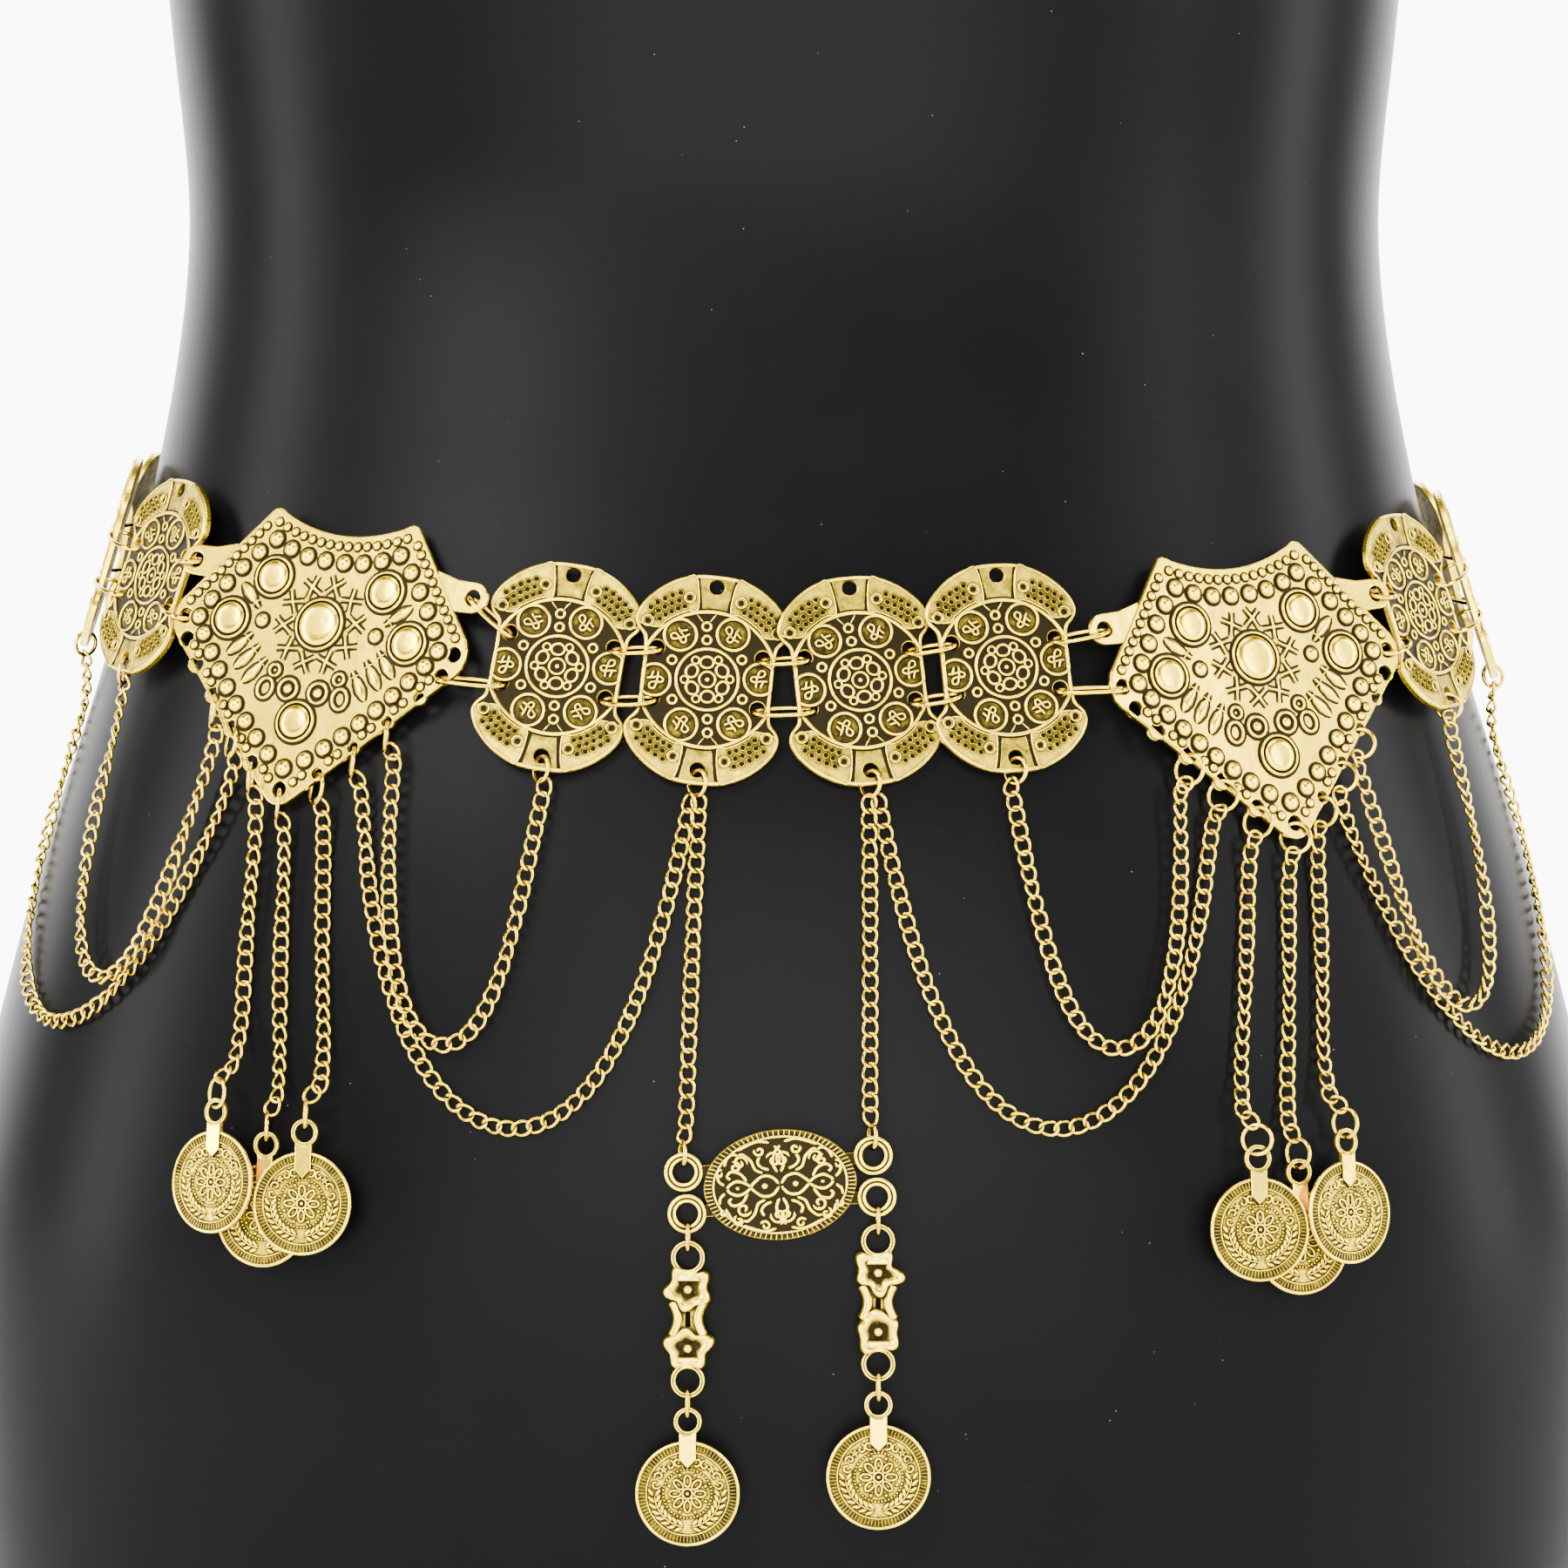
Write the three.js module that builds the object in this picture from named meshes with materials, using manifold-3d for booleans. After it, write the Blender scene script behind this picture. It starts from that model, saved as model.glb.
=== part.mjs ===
// A cast metal waist chain on a plain hip display form.
// Millimetres, +Z up, the front faces -Y and the origin is the middle of the form's base.
// Places on the form are given by azimuth, in degrees from the front towards +X, and height.
import * as THREE from "three";
import { mergeVertices } from "three/addons/utils/BufferGeometryUtils.js";
import Module from "manifold-3d";

const wasm = await Module();
wasm.setup();

// Display form: sections at heights above the base, half sizes of a squared ellipse.
const FORM_SECTIONS = [
  { height: 0, halfWidth: 171, front: 97, back: 103 },
  { height: 40, halfWidth: 175, front: 101, back: 112 },
  { height: 90, halfWidth: 176, front: 103, back: 119 },
  { height: 130, halfWidth: 168.5, front: 101, back: 117 },
  { height: 170, halfWidth: 158, front: 96, back: 108 },
  { height: 205, halfWidth: 147, front: 89, back: 97 },
  { height: 250, halfWidth: 134.5, front: 80, back: 84 },
  { height: 300, halfWidth: 127.5, front: 74, back: 76 },
  { height: 345, halfWidth: 131, front: 77, back: 79 },
  { height: 380, halfWidth: 135, front: 81, back: 84 },
];
const FORM_SQUARENESS = 2.35;
const FORM_HEIGHT = 380;
const FORM_EDGE_ROUND = 9;
const FORM_RING_STEP = 20.2;
const FORM_SIDES = 32;

// Belt plates.
const PLATE = { halfWidth: 14.8, waist: 12.6, halfHeight: 20.6, thickness: 1.2, relief: 0.35 };
const PLATE_SIDE_HOLES = { x: 10.2, upper: 5.3, lower: -4.7 };
const PLATE_END_HOLES = { top: 18.3, bottom: -17.7 };
const HOLE_RADIUS = 1.5;
const STAND_OFF = 2.2;
// The rows of plates. The lean is clockwise as seen from outside. A spread turns a plate
// about its own height, so that its left lobes lie over the plate before.
const ROUND_PLATES = [
  { name: "plate_front_1", azimuth: -26.6, height: 206.9, lean: 8, spread: 4.5, gap: STAND_OFF },
  { name: "plate_front_2", azimuth: -9.4, height: 204.3, lean: 5.5, spread: 4.5, gap: STAND_OFF },
  { name: "plate_front_3", azimuth: 9.2, height: 204.2, lean: -6, spread: 4.5, gap: STAND_OFF },
  { name: "plate_front_4", azimuth: 25.9, height: 206.5, lean: -4, spread: 3, gap: 3.2 },
  { name: "plate_left_1", azimuth: -69.6, height: 226.1, lean: 10, spread: -1, gap: 3.4 },
  { name: "plate_left_2", azimuth: -81.4, height: 232.5, lean: 10, spread: -5, gap: 4.4 },
  { name: "plate_left_3", azimuth: -94.2, height: 237, lean: 9, spread: -3, gap: 2.6 },
  { name: "plate_right_1", azimuth: 69.1, height: 219, lean: -8, spread: 1, gap: 3.2 },
  { name: "plate_right_2", azimuth: 81.0, height: 225.5, lean: -9, spread: 5, gap: 4.4 },
  { name: "plate_right_3", azimuth: 93.8, height: 230.5, lean: -8, spread: 3, gap: 2.6 },
];
const SHIELDS = [
  { name: "shield_left", azimuth: -50.7, height: 215.4, lean: 8.4, spread: 0, gap: STAND_OFF },
  { name: "shield_right", azimuth: 50.6, height: 208.9, lean: -8.2, spread: 2, gap: STAND_OFF },
];
const SHIELD = { thickness: 1.3, horn: 15.5, hornTop: 22.4, dip: 18.4, corner: 33.2, tip: 36.6 };
const SHIELD_EYE = { x: 31.6, y: 9.6, radius: 3.1, neck: 7.4 };
// The holes down one lower side, from the corner to the tip, and the one at the tip.
const SHIELD_HOLES = [
  { x: 30.6, y: -2 },
  { x: 29, y: -6.6 },
  { x: 25.4, y: -11.4 },
  { x: 19.8, y: -17 },
  { x: 13.8, y: -23 },
  { x: 7.5, y: -29.2 },
];
const SHIELD_TIP_HOLE = { x: 0, y: -33.4 };
const SHIELD_BOSSES = [
  { x: 0, y: 0, radius: 4.9 },
  { x: -12.7, y: 8.2, radius: 3.9 },
  { x: 12.7, y: 8.2, radius: 3.9 },
  { x: -20.2, y: -1.3, radius: 3.9 },
  { x: 20.2, y: -1.3, radius: 3.9 },
  { x: 0, y: -19.8, radius: 3.9 },
];
const BOSS_RISE = 1.1;
const BEAD = { radius: 1.45, rise: 0.9 };
const BEAD_COUNTS = { top: 3, upperSide: 4, lowerSide: 5 };

// Jump rings and chain.
const WIRE = 0.42;
// A ring is joined to the casting that carries it by this much of its wire.
const GRIP = 0.12;
const BELT_RING = { semiMinor: 2.9, droop: 28, forward: 0.65, free: 0.15 };
const END_RING = { radius: 2.9, turn: 38 };
const CHAIN = { halfWide: 1.7, halfNarrow: 1.05, halfDeep: 0.85, halfShallow: 0.55, gap: 1.3, step: 7.2 };
const EASE_LENGTH = 14;
const SEAM = 0.3;
// A chain that crosses over another lies this much higher.
const CROSSING_RISE = 2.1;

// Swags: the hole of the shield, the plate that the other end hangs from, and the chain length.
const SWAGS = [
  { name: "swag_front_left_outer", shield: "shield_left", hole: 14, plate: "plate_front_2", length: 156 },
  {
    name: "swag_front_left_inner", shield: "shield_left", hole: 20,
    plate: "plate_front_1", length: 116, over: true,
  },
  { name: "swag_front_right_outer", shield: "shield_right", hole: -14, plate: "plate_front_3", length: 150 },
  {
    name: "swag_front_right_inner", shield: "shield_right", hole: -20,
    plate: "plate_front_4", length: 112, over: true,
  },
  { name: "swag_side_left_outer", shield: "shield_left", hole: -14, plate: "plate_left_2", length: 158 },
  {
    name: "swag_side_left_inner", shield: "shield_left", hole: -20,
    plate: "plate_left_1", length: 120, over: true,
  },
  { name: "swag_side_right_outer", shield: "shield_right", hole: 14, plate: "plate_right_2", length: 156 },
  {
    name: "swag_side_right_inner", shield: "shield_right", hole: 20,
    plate: "plate_right_1", length: 116, over: true,
  },
];

// Coins: charm discs with a folded bail. The spread turns a coin about its hanging axis.
const COIN = { radius: 9.8, thickness: 0.9, rim: 0.9, rimRise: 0.15 };
const BAIL = { above: 13.4, radius: 2.65, hole: 1.65, strapHalf: 1.6, strapDown: 4.6 };
const COIN_LINK_RADIUS = 2.8;
const COIN_GAP = 2.9;
const COIN_LAYER = 1.7;
const COIN_CHAINS = [
  { side: "left", number: 1, hole: -7, azimuth: -51.4, height: 121.5, layer: 1, spread: -10 },
  { side: "left", number: 2, hole: 0, azimuth: -47.6, height: 115.6, layer: 0, spread: 0 },
  { side: "left", number: 3, hole: 7, azimuth: -44.4, height: 118.2, layer: 1, spread: 4 },
  { side: "right", number: 1, hole: -7, azimuth: 43.8, height: 113.4, layer: 1, spread: -4 },
  { side: "right", number: 2, hole: 0, azimuth: 47.2, height: 110.5, layer: 0, spread: 0 },
  { side: "right", number: 3, hole: 7, azimuth: 50.7, height: 115.9, layer: 1, spread: 10 },
];

// Centre pendant: an oval between two chains, with a drop and a coin under each end.
const OVAL = { azimuth: -0.4, height: 109.6, lean: -5, halfWidth: 14.4, halfHeight: 10.3, gap: 2.1 };
const OVAL_EYE = { x: 17.9, y: 3.9, radius: 3.7, hole: 2.1 };
const DROP = { length: 23, bodyHalf: 4.5, eyeRadius: 3.2, eyeHole: 2.1, link: 2.6, thickness: 1.3 };

const PENDANT_RING = { top: 2.5, foot: 2.3, turn: 15 };

// Back closure.
const BACK_HEIGHT = 236;
const CLASP = { length: 13, halfWidth: 3.4, thickness: 2.2, eye: 1.9 };
const EXTENDER_LENGTH = 52;
const TAIL_BESIDE = 5;

const GOLD = { color: 0xd9b45a, roughness: 0.32, metalness: 1 };
const DARK_GOLD = { color: 0xb8964a, roughness: 0.4, metalness: 1 };
const BLACK = { color: 0x1d1d1f, roughness: 0.35, metalness: 0 };

const UP = new THREE.Vector3(0, 0, 1);
const degrees = THREE.MathUtils.degToRad;
// The form is deeper behind than in front, and the part's box is centred on the origin.
const MIDDLE_Y = 4.53;
const part = new THREE.Group();
part.position.y = -MIDDLE_Y;

// Smooth curve through the section table.
function sectionAt(height) {
  const z = THREE.MathUtils.clamp(height, 0, FORM_HEIGHT);
  const last = FORM_SECTIONS.length - 2;
  const k = Math.min(last, Math.max(0, FORM_SECTIONS.findIndex((row) => row.height > z) - 1));
  const i = z >= FORM_HEIGHT ? last : k;
  const [a, b] = [FORM_SECTIONS[i], FORM_SECTIONS[i + 1]];
  const before = FORM_SECTIONS[Math.max(0, i - 1)];
  const after = FORM_SECTIONS[Math.min(last + 1, i + 2)];
  const span = b.height - a.height;
  const t = (z - a.height) / span;
  const value = (key) => {
    const startSlope = (b[key] - before[key]) / (b.height - before.height);
    const endSlope = (after[key] - a[key]) / (after.height - a.height);
    const startShare = 2 * t ** 3 - 3 * t ** 2 + 1;
    const startBend = t ** 3 - 2 * t ** 2 + t;
    const endShare = 3 * t ** 2 - 2 * t ** 3;
    const endBend = t ** 3 - t ** 2;
    const bends = startBend * span * startSlope + endBend * span * endSlope;
    return startShare * a[key] + endShare * b[key] + bends;
  };
  return { halfWidth: value("halfWidth"), front: value("front"), back: value("back") };
}

function formRadius(azimuth, height) {
  const { halfWidth, front, back } = sectionAt(height);
  const across = Math.abs(Math.sin(azimuth)) / halfWidth;
  const along = Math.abs(Math.cos(azimuth)) / (Math.cos(azimuth) > 0 ? front : back);
  return (across ** FORM_SQUARENESS + along ** FORM_SQUARENESS) ** (-1 / FORM_SQUARENESS);
}

function surface(azimuth, height) {
  const r = formRadius(azimuth, height);
  return new THREE.Vector3(r * Math.sin(azimuth), -r * Math.cos(azimuth), height);
}

// Axes on the surface: along towards rising azimuth, upward, and out.
function axesAt(azimuth, height) {
  const along = surface(azimuth + 0.002, height).sub(surface(azimuth - 0.002, height)).normalize();
  const rise = surface(azimuth, height + 0.5).sub(surface(azimuth, height - 0.5));
  const out = along.clone().cross(rise).normalize();
  return { along, up: out.clone().cross(along).normalize(), out };
}

function onForm(azimuth, height, gap) {
  return surface(azimuth, height).addScaledVector(axesAt(azimuth, height).out, gap);
}

function arcBetween(from, to, height) {
  const steps = 24;
  let length = 0;
  for (let i = 0; i < steps; i++) {
    const a = surface(from + ((to - from) * i) / steps, height);
    length += a.distanceTo(surface(from + ((to - from) * (i + 1)) / steps, height));
  }
  return length;
}

// A frame on the form for a piece drawn in x and y with its back at z = 0.
function frameAt({ azimuth, height, lean = 0, spread = 0, gap }) {
  const { along, up, out } = axesAt(degrees(azimuth), height);
  const frame = new THREE.Matrix4().makeBasis(along, up, out);
  frame.setPosition(onForm(degrees(azimuth), height, gap));
  frame.multiply(new THREE.Matrix4().makeRotationZ(degrees(-lean)));
  frame.multiply(new THREE.Matrix4().makeRotationY(degrees(spread)));
  return frame;
}

function solid(geometry) {
  const plain = geometry.clone();
  plain.deleteAttribute("normal");
  plain.deleteAttribute("uv");
  const merged = mergeVertices(plain, 1e-4);
  const vertProperties = new Float32Array(merged.attributes.position.array);
  return new wasm.Manifold(
    new wasm.Mesh({ numProp: 3, vertProperties, triVerts: new Uint32Array(merged.index.array) }),
  );
}

function joined(geometries) {
  return geometries.map(solid).reduce((whole, piece) => whole.add(piece));
}

function geometryOf(manifold) {
  const mesh = manifold.getMesh();
  const geometry = new THREE.BufferGeometry();
  geometry.setAttribute("position", new THREE.BufferAttribute(mesh.vertProperties, 3));
  geometry.setIndex(new THREE.BufferAttribute(mesh.triVerts, 1));
  geometry.computeVertexNormals();
  return geometry;
}

function place(name, manifold, finish, frame = new THREE.Matrix4()) {
  const mesh = new THREE.Mesh(geometryOf(manifold), new THREE.MeshStandardMaterial(finish));
  mesh.name = name;
  mesh.applyMatrix4(frame);
  part.add(mesh);
}

// A closed skin over rings of points, with a fan at each end.
function loft(rings) {
  const sides = rings[0].length;
  const centre = (ring) => ring.reduce((sum, p) => sum.add(p), new THREE.Vector3()).divideScalar(sides);
  const points = [...rings.flat(), centre(rings[0]), centre(rings.at(-1))];
  const index = [];
  for (let r = 0; r + 1 < rings.length; r++) {
    for (let s = 0; s < sides; s++) {
      const a = r * sides + s;
      const b = r * sides + ((s + 1) % sides);
      index.push(a, b, b + sides, a, b + sides, a + sides);
    }
  }
  const top = (rings.length - 1) * sides;
  for (let s = 0; s < sides; s++) {
    const next = (s + 1) % sides;
    index.push(points.length - 2, next, s);
    index.push(points.length - 1, top + s, top + next);
  }
  return new THREE.BufferGeometry().setFromPoints(points).setIndex(index);
}

function slab(shape, thickness, lift = 0) {
  const options = { depth: thickness, bevelEnabled: false, curveSegments: 6 };
  const geometry = new THREE.ExtrudeGeometry(shape, options);
  return geometry.translate(0, 0, lift);
}

function circlePath(x, y, radius, sides) {
  const at = (i) => new THREE.Vector2(
    x + radius * Math.cos((2 * Math.PI * i) / sides),
    y + radius * Math.sin((2 * Math.PI * i) / sides),
  );
  return Array.from({ length: sides }, (_, i) => at(i));
}

function disc(x, y, radius, sides, thickness, lift) {
  return slab(new THREE.Shape(circlePath(x, y, radius, sides)), thickness, lift);
}

function eyelet(x, y, radius, hole, thickness, lift = 0) {
  const shape = new THREE.Shape(circlePath(x, y, radius, 9));
  shape.holes.push(new THREE.Path(circlePath(x, y, hole, 6).reverse()));
  return slab(shape, thickness, lift);
}

// A low dome, drawn as a closed lathe on the z axis. A bead has no shoulder.
function dome(x, y, radius, rise, sides, lift, shoulder = 0.6) {
  const profile = [
    new THREE.Vector2(0, -0.2),
    new THREE.Vector2(radius, -0.2),
    ...(shoulder ? [new THREE.Vector2(radius * shoulder, rise * 0.85)] : []),
    new THREE.Vector2(0, rise),
  ];
  const geometry = new THREE.LatheGeometry(profile, sides).rotateX(Math.PI / 2);
  return geometry.translate(x, y, lift);
}

function makeForm() {
  const rings = [];
  const addRing = (height, inset) => {
    const ring = [];
    for (let i = 0; i < FORM_SIDES; i++) {
      const azimuth = (2 * Math.PI * i) / FORM_SIDES;
      const p = surface(azimuth, height);
      const { out } = axesAt(azimuth, height);
      ring.push(p.add(new THREE.Vector3(out.x, out.y, 0).normalize().multiplyScalar(-inset)));
    }
    rings.push(ring);
  };
  const roundSteps = 3;
  const rounded = (i) => {
    const turn = (Math.PI / 2) * (i / roundSteps);
    return [FORM_EDGE_ROUND * (1 - Math.sin(turn)), FORM_EDGE_ROUND * (1 - Math.cos(turn))];
  };
  for (let i = roundSteps; i > 0; i--) {
    const [rise, inset] = rounded(i);
    addRing(rise, inset);
  }
  const middle = FORM_HEIGHT - 2 * FORM_EDGE_ROUND;
  const count = Math.round(middle / FORM_RING_STEP);
  for (let i = 0; i <= count; i++) addRing(FORM_EDGE_ROUND + (middle * i) / count, 0);
  for (let i = 1; i <= roundSteps; i++) {
    const [rise, inset] = rounded(i);
    addRing(FORM_HEIGHT - rise, inset);
  }
  place("hip_form", solid(loft(rings)), BLACK);
}

// Round plate outline: two lobed ends and a narrower middle.
function plateOutline() {
  const { halfWidth, waist, halfHeight } = PLATE;
  const quarter = [
    { x: 0, y: halfHeight },
    { x: 7, y: halfHeight - 1.4 },
    { x: 11.4, y: halfHeight - 4.7 },
    { x: halfWidth - 0.4, y: 12.6 },
    { x: halfWidth, y: 10.2 },
    { x: waist, y: 7 },
  ];
  const right = [...quarter, ...quarter.slice(1).reverse().map(({ x, y }) => ({ x, y: -y }))];
  right.push({ x: 0, y: -halfHeight });
  const left = right.slice(1, -1).reverse().map(({ x, y }) => ({ x: -x, y }));
  return [...right, ...left].map(({ x, y }) => new THREE.Vector2(x, y)).reverse();
}

function plateHoles() {
  const { x, upper, lower } = PLATE_SIDE_HOLES;
  const sides = [-x, x].flatMap((at) => [{ x: at, y: upper }, { x: at, y: lower }]);
  return [...sides, { x: 0, y: PLATE_END_HOLES.top }, { x: 0, y: PLATE_END_HOLES.bottom }];
}

function plateBody() {
  const { thickness, relief } = PLATE;
  const drawing = { field: 8.5, centre: 6.3 };
  const lift = thickness - 0.1;
  const pieces = [slab(new THREE.Shape(plateOutline()), thickness)];
  pieces.push(disc(0, 0, drawing.field, 12, relief + 0.1, lift));
  pieces.push(disc(0, 0, drawing.centre, 9, relief + 0.5, lift));
  let body = joined(pieces);
  for (const { x, y } of plateHoles()) {
    body = body.subtract(solid(disc(x, y, HOLE_RADIUS, 6, 6, -2)));
  }
  return body;
}

function shieldOutline() {
  const { horn, hornTop, dip, corner, tip } = SHIELD;
  const arch = [-0.66, -0.33, 0, 0.33, 0.66].map((t) => ({ x: horn * t, y: dip + (hornTop - dip) * t ** 2 }));
  const right = [
    { x: horn - 1.6, y: hornTop },
    { x: horn + 0.8, y: hornTop - 0.6 },
    { x: corner - 0.6, y: 0.5 },
    { x: corner, y: -2.6 },
    { x: corner - 1.5, y: -6.2 },
    { x: 2.6, y: 1.2 - tip },
  ];
  const left = right.map(({ x, y }) => ({ x: -x, y })).reverse();
  const points = [...arch, ...right, { x: 0, y: -tip }, ...left];
  return points.map(({ x, y }) => new THREE.Vector2(x, y)).reverse();
}

function beadRow() {
  const { horn, corner } = SHIELD;
  const stops = [
    { x: 0, y: 13.2, count: BEAD_COUNTS.top },
    { x: horn - 3.2, y: 17.4, count: BEAD_COUNTS.upperSide },
    { x: corner - 6.4, y: -2.8, count: BEAD_COUNTS.lowerSide },
    { x: 0, y: -29.6, count: 0 },
  ];
  const beads = [];
  for (let i = 0; i + 1 < stops.length; i++) {
    const [a, b] = [stops[i], stops[i + 1]];
    for (let k = 0; k < a.count; k++) {
      const t = k / a.count;
      beads.push({ x: a.x + (b.x - a.x) * t, y: a.y + (b.y - a.y) * t });
    }
  }
  const mirrored = beads.filter(({ x }) => x > 0.1).map(({ x, y }) => ({ x: -x, y }));
  return [...beads, { x: 0, y: stops.at(-1).y }, ...mirrored];
}

function shieldBody() {
  const { thickness, corner } = SHIELD;
  const pieces = [slab(new THREE.Shape(shieldOutline()), thickness)];
  for (const side of [-1, 1]) {
    const eye = new THREE.Vector2(SHIELD_EYE.x * side, SHIELD_EYE.y);
    const root = [
      new THREE.Vector2((corner - 13) * side, SHIELD_EYE.y + SHIELD_EYE.neck / 2),
      new THREE.Vector2((corner - 8) * side, SHIELD_EYE.y - SHIELD_EYE.neck / 2),
      new THREE.Vector2(eye.x, eye.y - SHIELD_EYE.radius * 0.9),
      new THREE.Vector2(eye.x, eye.y + SHIELD_EYE.radius * 0.9),
    ];
    pieces.push(slab(new THREE.Shape(root), thickness));
    pieces.push(disc(eye.x, eye.y, SHIELD_EYE.radius, 10, thickness, 0));
  }
  for (const { x, y, radius } of SHIELD_BOSSES) {
    pieces.push(dome(x, y, radius, BOSS_RISE, 10, thickness));
  }
  for (const { x, y } of beadRow()) {
    pieces.push(dome(x, y, BEAD.radius, BEAD.rise, 5, thickness, 0));
  }
  let body = joined(pieces);
  const side = SHIELD_HOLES.flatMap(({ x, y }) => [{ x, y }, { x: -x, y }]);
  const eyes = [-1, 1].map((sign) => ({ x: SHIELD_EYE.x * sign, y: SHIELD_EYE.y }));
  for (const { x, y } of [...side, SHIELD_TIP_HOLE, ...eyes]) {
    body = body.subtract(solid(disc(x, y, HOLE_RADIUS, 6, 6, -2)));
  }
  return body;
}

const frames = new Map();
for (const row of [...ROUND_PLATES, ...SHIELDS]) frames.set(row.name, frameAt(row));

function holeAt(name, { x, y }) {
  const thickness = name.startsWith("shield") ? SHIELD.thickness : PLATE.thickness;
  return new THREE.Vector3(x, y, thickness / 2).applyMatrix4(frames.get(name));
}

function outOf(name) {
  return new THREE.Vector3().setFromMatrixColumn(frames.get(name), 2);
}

// A wire ring in the plane of two directions, wider along the first when semi sizes differ.
function wireRing(centre, first, second, semiFirst, semiSecond, steps = 6) {
  const axis = first.clone().cross(second).normalize();
  const across = axis.clone().cross(first).normalize();
  const rings = [];
  const reach = semiFirst / Math.cos(Math.PI / steps);
  for (let i = 0; i < steps; i++) {
    const turn = (2 * Math.PI * (i + 0.5)) / steps;
    const rim = first.clone().multiplyScalar(reach * Math.cos(turn));
    rim.addScaledVector(across, semiSecond * Math.sin(turn));
    const outward = rim.clone().normalize();
    const at = centre.clone().add(rim);
    rings.push([
      at.clone().addScaledVector(outward, WIRE),
      at.clone().addScaledVector(axis, -WIRE),
      at.clone().addScaledVector(outward, -WIRE),
      at.clone().addScaledVector(axis, WIRE),
    ]);
  }
  const index = [];
  for (let r = 0; r < steps; r++) {
    for (let s = 0; s < 4; s++) {
      const [a, b] = [r * 4 + s, r * 4 + ((s + 1) % 4)];
      const [c, d] = [((r + 1) % steps) * 4 + s, ((r + 1) % steps) * 4 + ((s + 1) % 4)];
      index.push(a, b, d, a, d, c);
    }
  }
  return new THREE.BufferGeometry().setFromPoints(rings.flat()).setIndex(index);
}

// A belt ring held at one hole and passing through the next piece's hole with a running gap.
function beltRing(from, fromHole, to, toHole) {
  const start = holeAt(from, fromHole);
  const end = holeAt(to, toHole);
  const along = end.clone().sub(start).normalize();
  const hold = HOLE_RADIUS * Math.cos(Math.PI / 6) - WIRE + GRIP;
  start.addScaledVector(along, hold);
  end.addScaledVector(along, -BELT_RING.free);
  const out = outOf(from).add(outOf(to)).normalize();
  const droop = degrees(BELT_RING.droop);
  const down = UP.clone().negate().addScaledVector(out, out.z).normalize();
  const across = out.clone().multiplyScalar(Math.cos(droop)).addScaledVector(down, Math.sin(droop));
  const centre = start.clone().add(end).multiplyScalar(0.5).addScaledVector(out, BELT_RING.forward);
  return wireRing(centre, along, across, start.distanceTo(end) / 2, BELT_RING.semiMinor);
}

const PLATE_RIGHT = [
  { x: PLATE_SIDE_HOLES.x, y: PLATE_SIDE_HOLES.upper },
  { x: PLATE_SIDE_HOLES.x, y: PLATE_SIDE_HOLES.lower },
];
const PLATE_LEFT = PLATE_RIGHT.map(({ x, y }) => ({ x: -x, y }));
const EYE_RIGHT = { x: SHIELD_EYE.x, y: SHIELD_EYE.y };
const EYE_LEFT = { x: -SHIELD_EYE.x, y: SHIELD_EYE.y };
const FIRST_RIGHT = SHIELD_HOLES[0];
const FIRST_LEFT = { x: -SHIELD_HOLES[0].x, y: SHIELD_HOLES[0].y };

// The belt from left to right, each piece with the holes on its left and its right.
const BELT = [
  { name: "plate_left_3", left: PLATE_LEFT, right: PLATE_RIGHT },
  { name: "plate_left_2", left: PLATE_LEFT, right: PLATE_RIGHT },
  { name: "plate_left_1", left: PLATE_LEFT, right: PLATE_RIGHT },
  { name: "shield_left", left: [EYE_LEFT, FIRST_LEFT], right: [EYE_RIGHT, SHIELD_HOLES[1]] },
  { name: "plate_front_1", left: PLATE_LEFT, right: PLATE_RIGHT },
  { name: "plate_front_2", left: PLATE_LEFT, right: PLATE_RIGHT },
  { name: "plate_front_3", left: PLATE_LEFT, right: PLATE_RIGHT },
  { name: "plate_front_4", left: PLATE_LEFT, right: PLATE_RIGHT },
  { name: "shield_right", left: [EYE_LEFT, FIRST_LEFT], right: [EYE_RIGHT, FIRST_RIGHT] },
  { name: "plate_right_1", left: PLATE_LEFT, right: PLATE_RIGHT },
  { name: "plate_right_2", left: PLATE_LEFT, right: PLATE_RIGHT },
  { name: "plate_right_3", left: PLATE_LEFT, right: PLATE_RIGHT },
];

function makeBelt() {
  const shield = geometryOf(shieldBody());
  const plate = geometryOf(plateBody());
  BELT.forEach((piece, i) => {
    const shape = piece.name.startsWith("shield") ? shield : plate;
    let body = solid(shape.clone().applyMatrix4(frames.get(piece.name)));
    const next = BELT[i + 1];
    if (next) {
      for (const k of [0, 1]) {
        body = body.add(solid(beltRing(piece.name, piece.right[k], next.name, next.left[k])));
      }
    }
    place(piece.name, body, piece.name.startsWith("shield") ? GOLD : DARK_GOLD);
  });
}

// A chain along points, its links taken as a strip that is wide and narrow by turns.
function chainStrip(points) {
  const { halfWide, halfNarrow, halfDeep, halfShallow } = CHAIN;
  const rings = points.map((p, i) => {
    const before = points[Math.max(0, i - 1)];
    const after = points[Math.min(points.length - 1, i + 1)];
    const travel = after.clone().sub(before).normalize();
    const azimuth = Math.atan2(p.x, -p.y);
    const out = axesAt(azimuth, p.z).out;
    const side = travel.clone().cross(out).normalize();
    const face = side.clone().cross(travel).normalize();
    const [wide, deep] = i % 2 ? [halfWide, halfShallow] : [halfNarrow, halfDeep];
    return [
      p.clone().addScaledVector(side, wide),
      p.clone().addScaledVector(face, -deep),
      p.clone().addScaledVector(side, -wide),
      p.clone().addScaledVector(face, deep),
    ];
  });
  return loft(rings);
}

const azimuthOf = (p) => Math.atan2(p.x, -p.y);
const gapOf = (p) => (Math.hypot(p.x, p.y) - formRadius(azimuthOf(p), p.z)) * 0.97;

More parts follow.
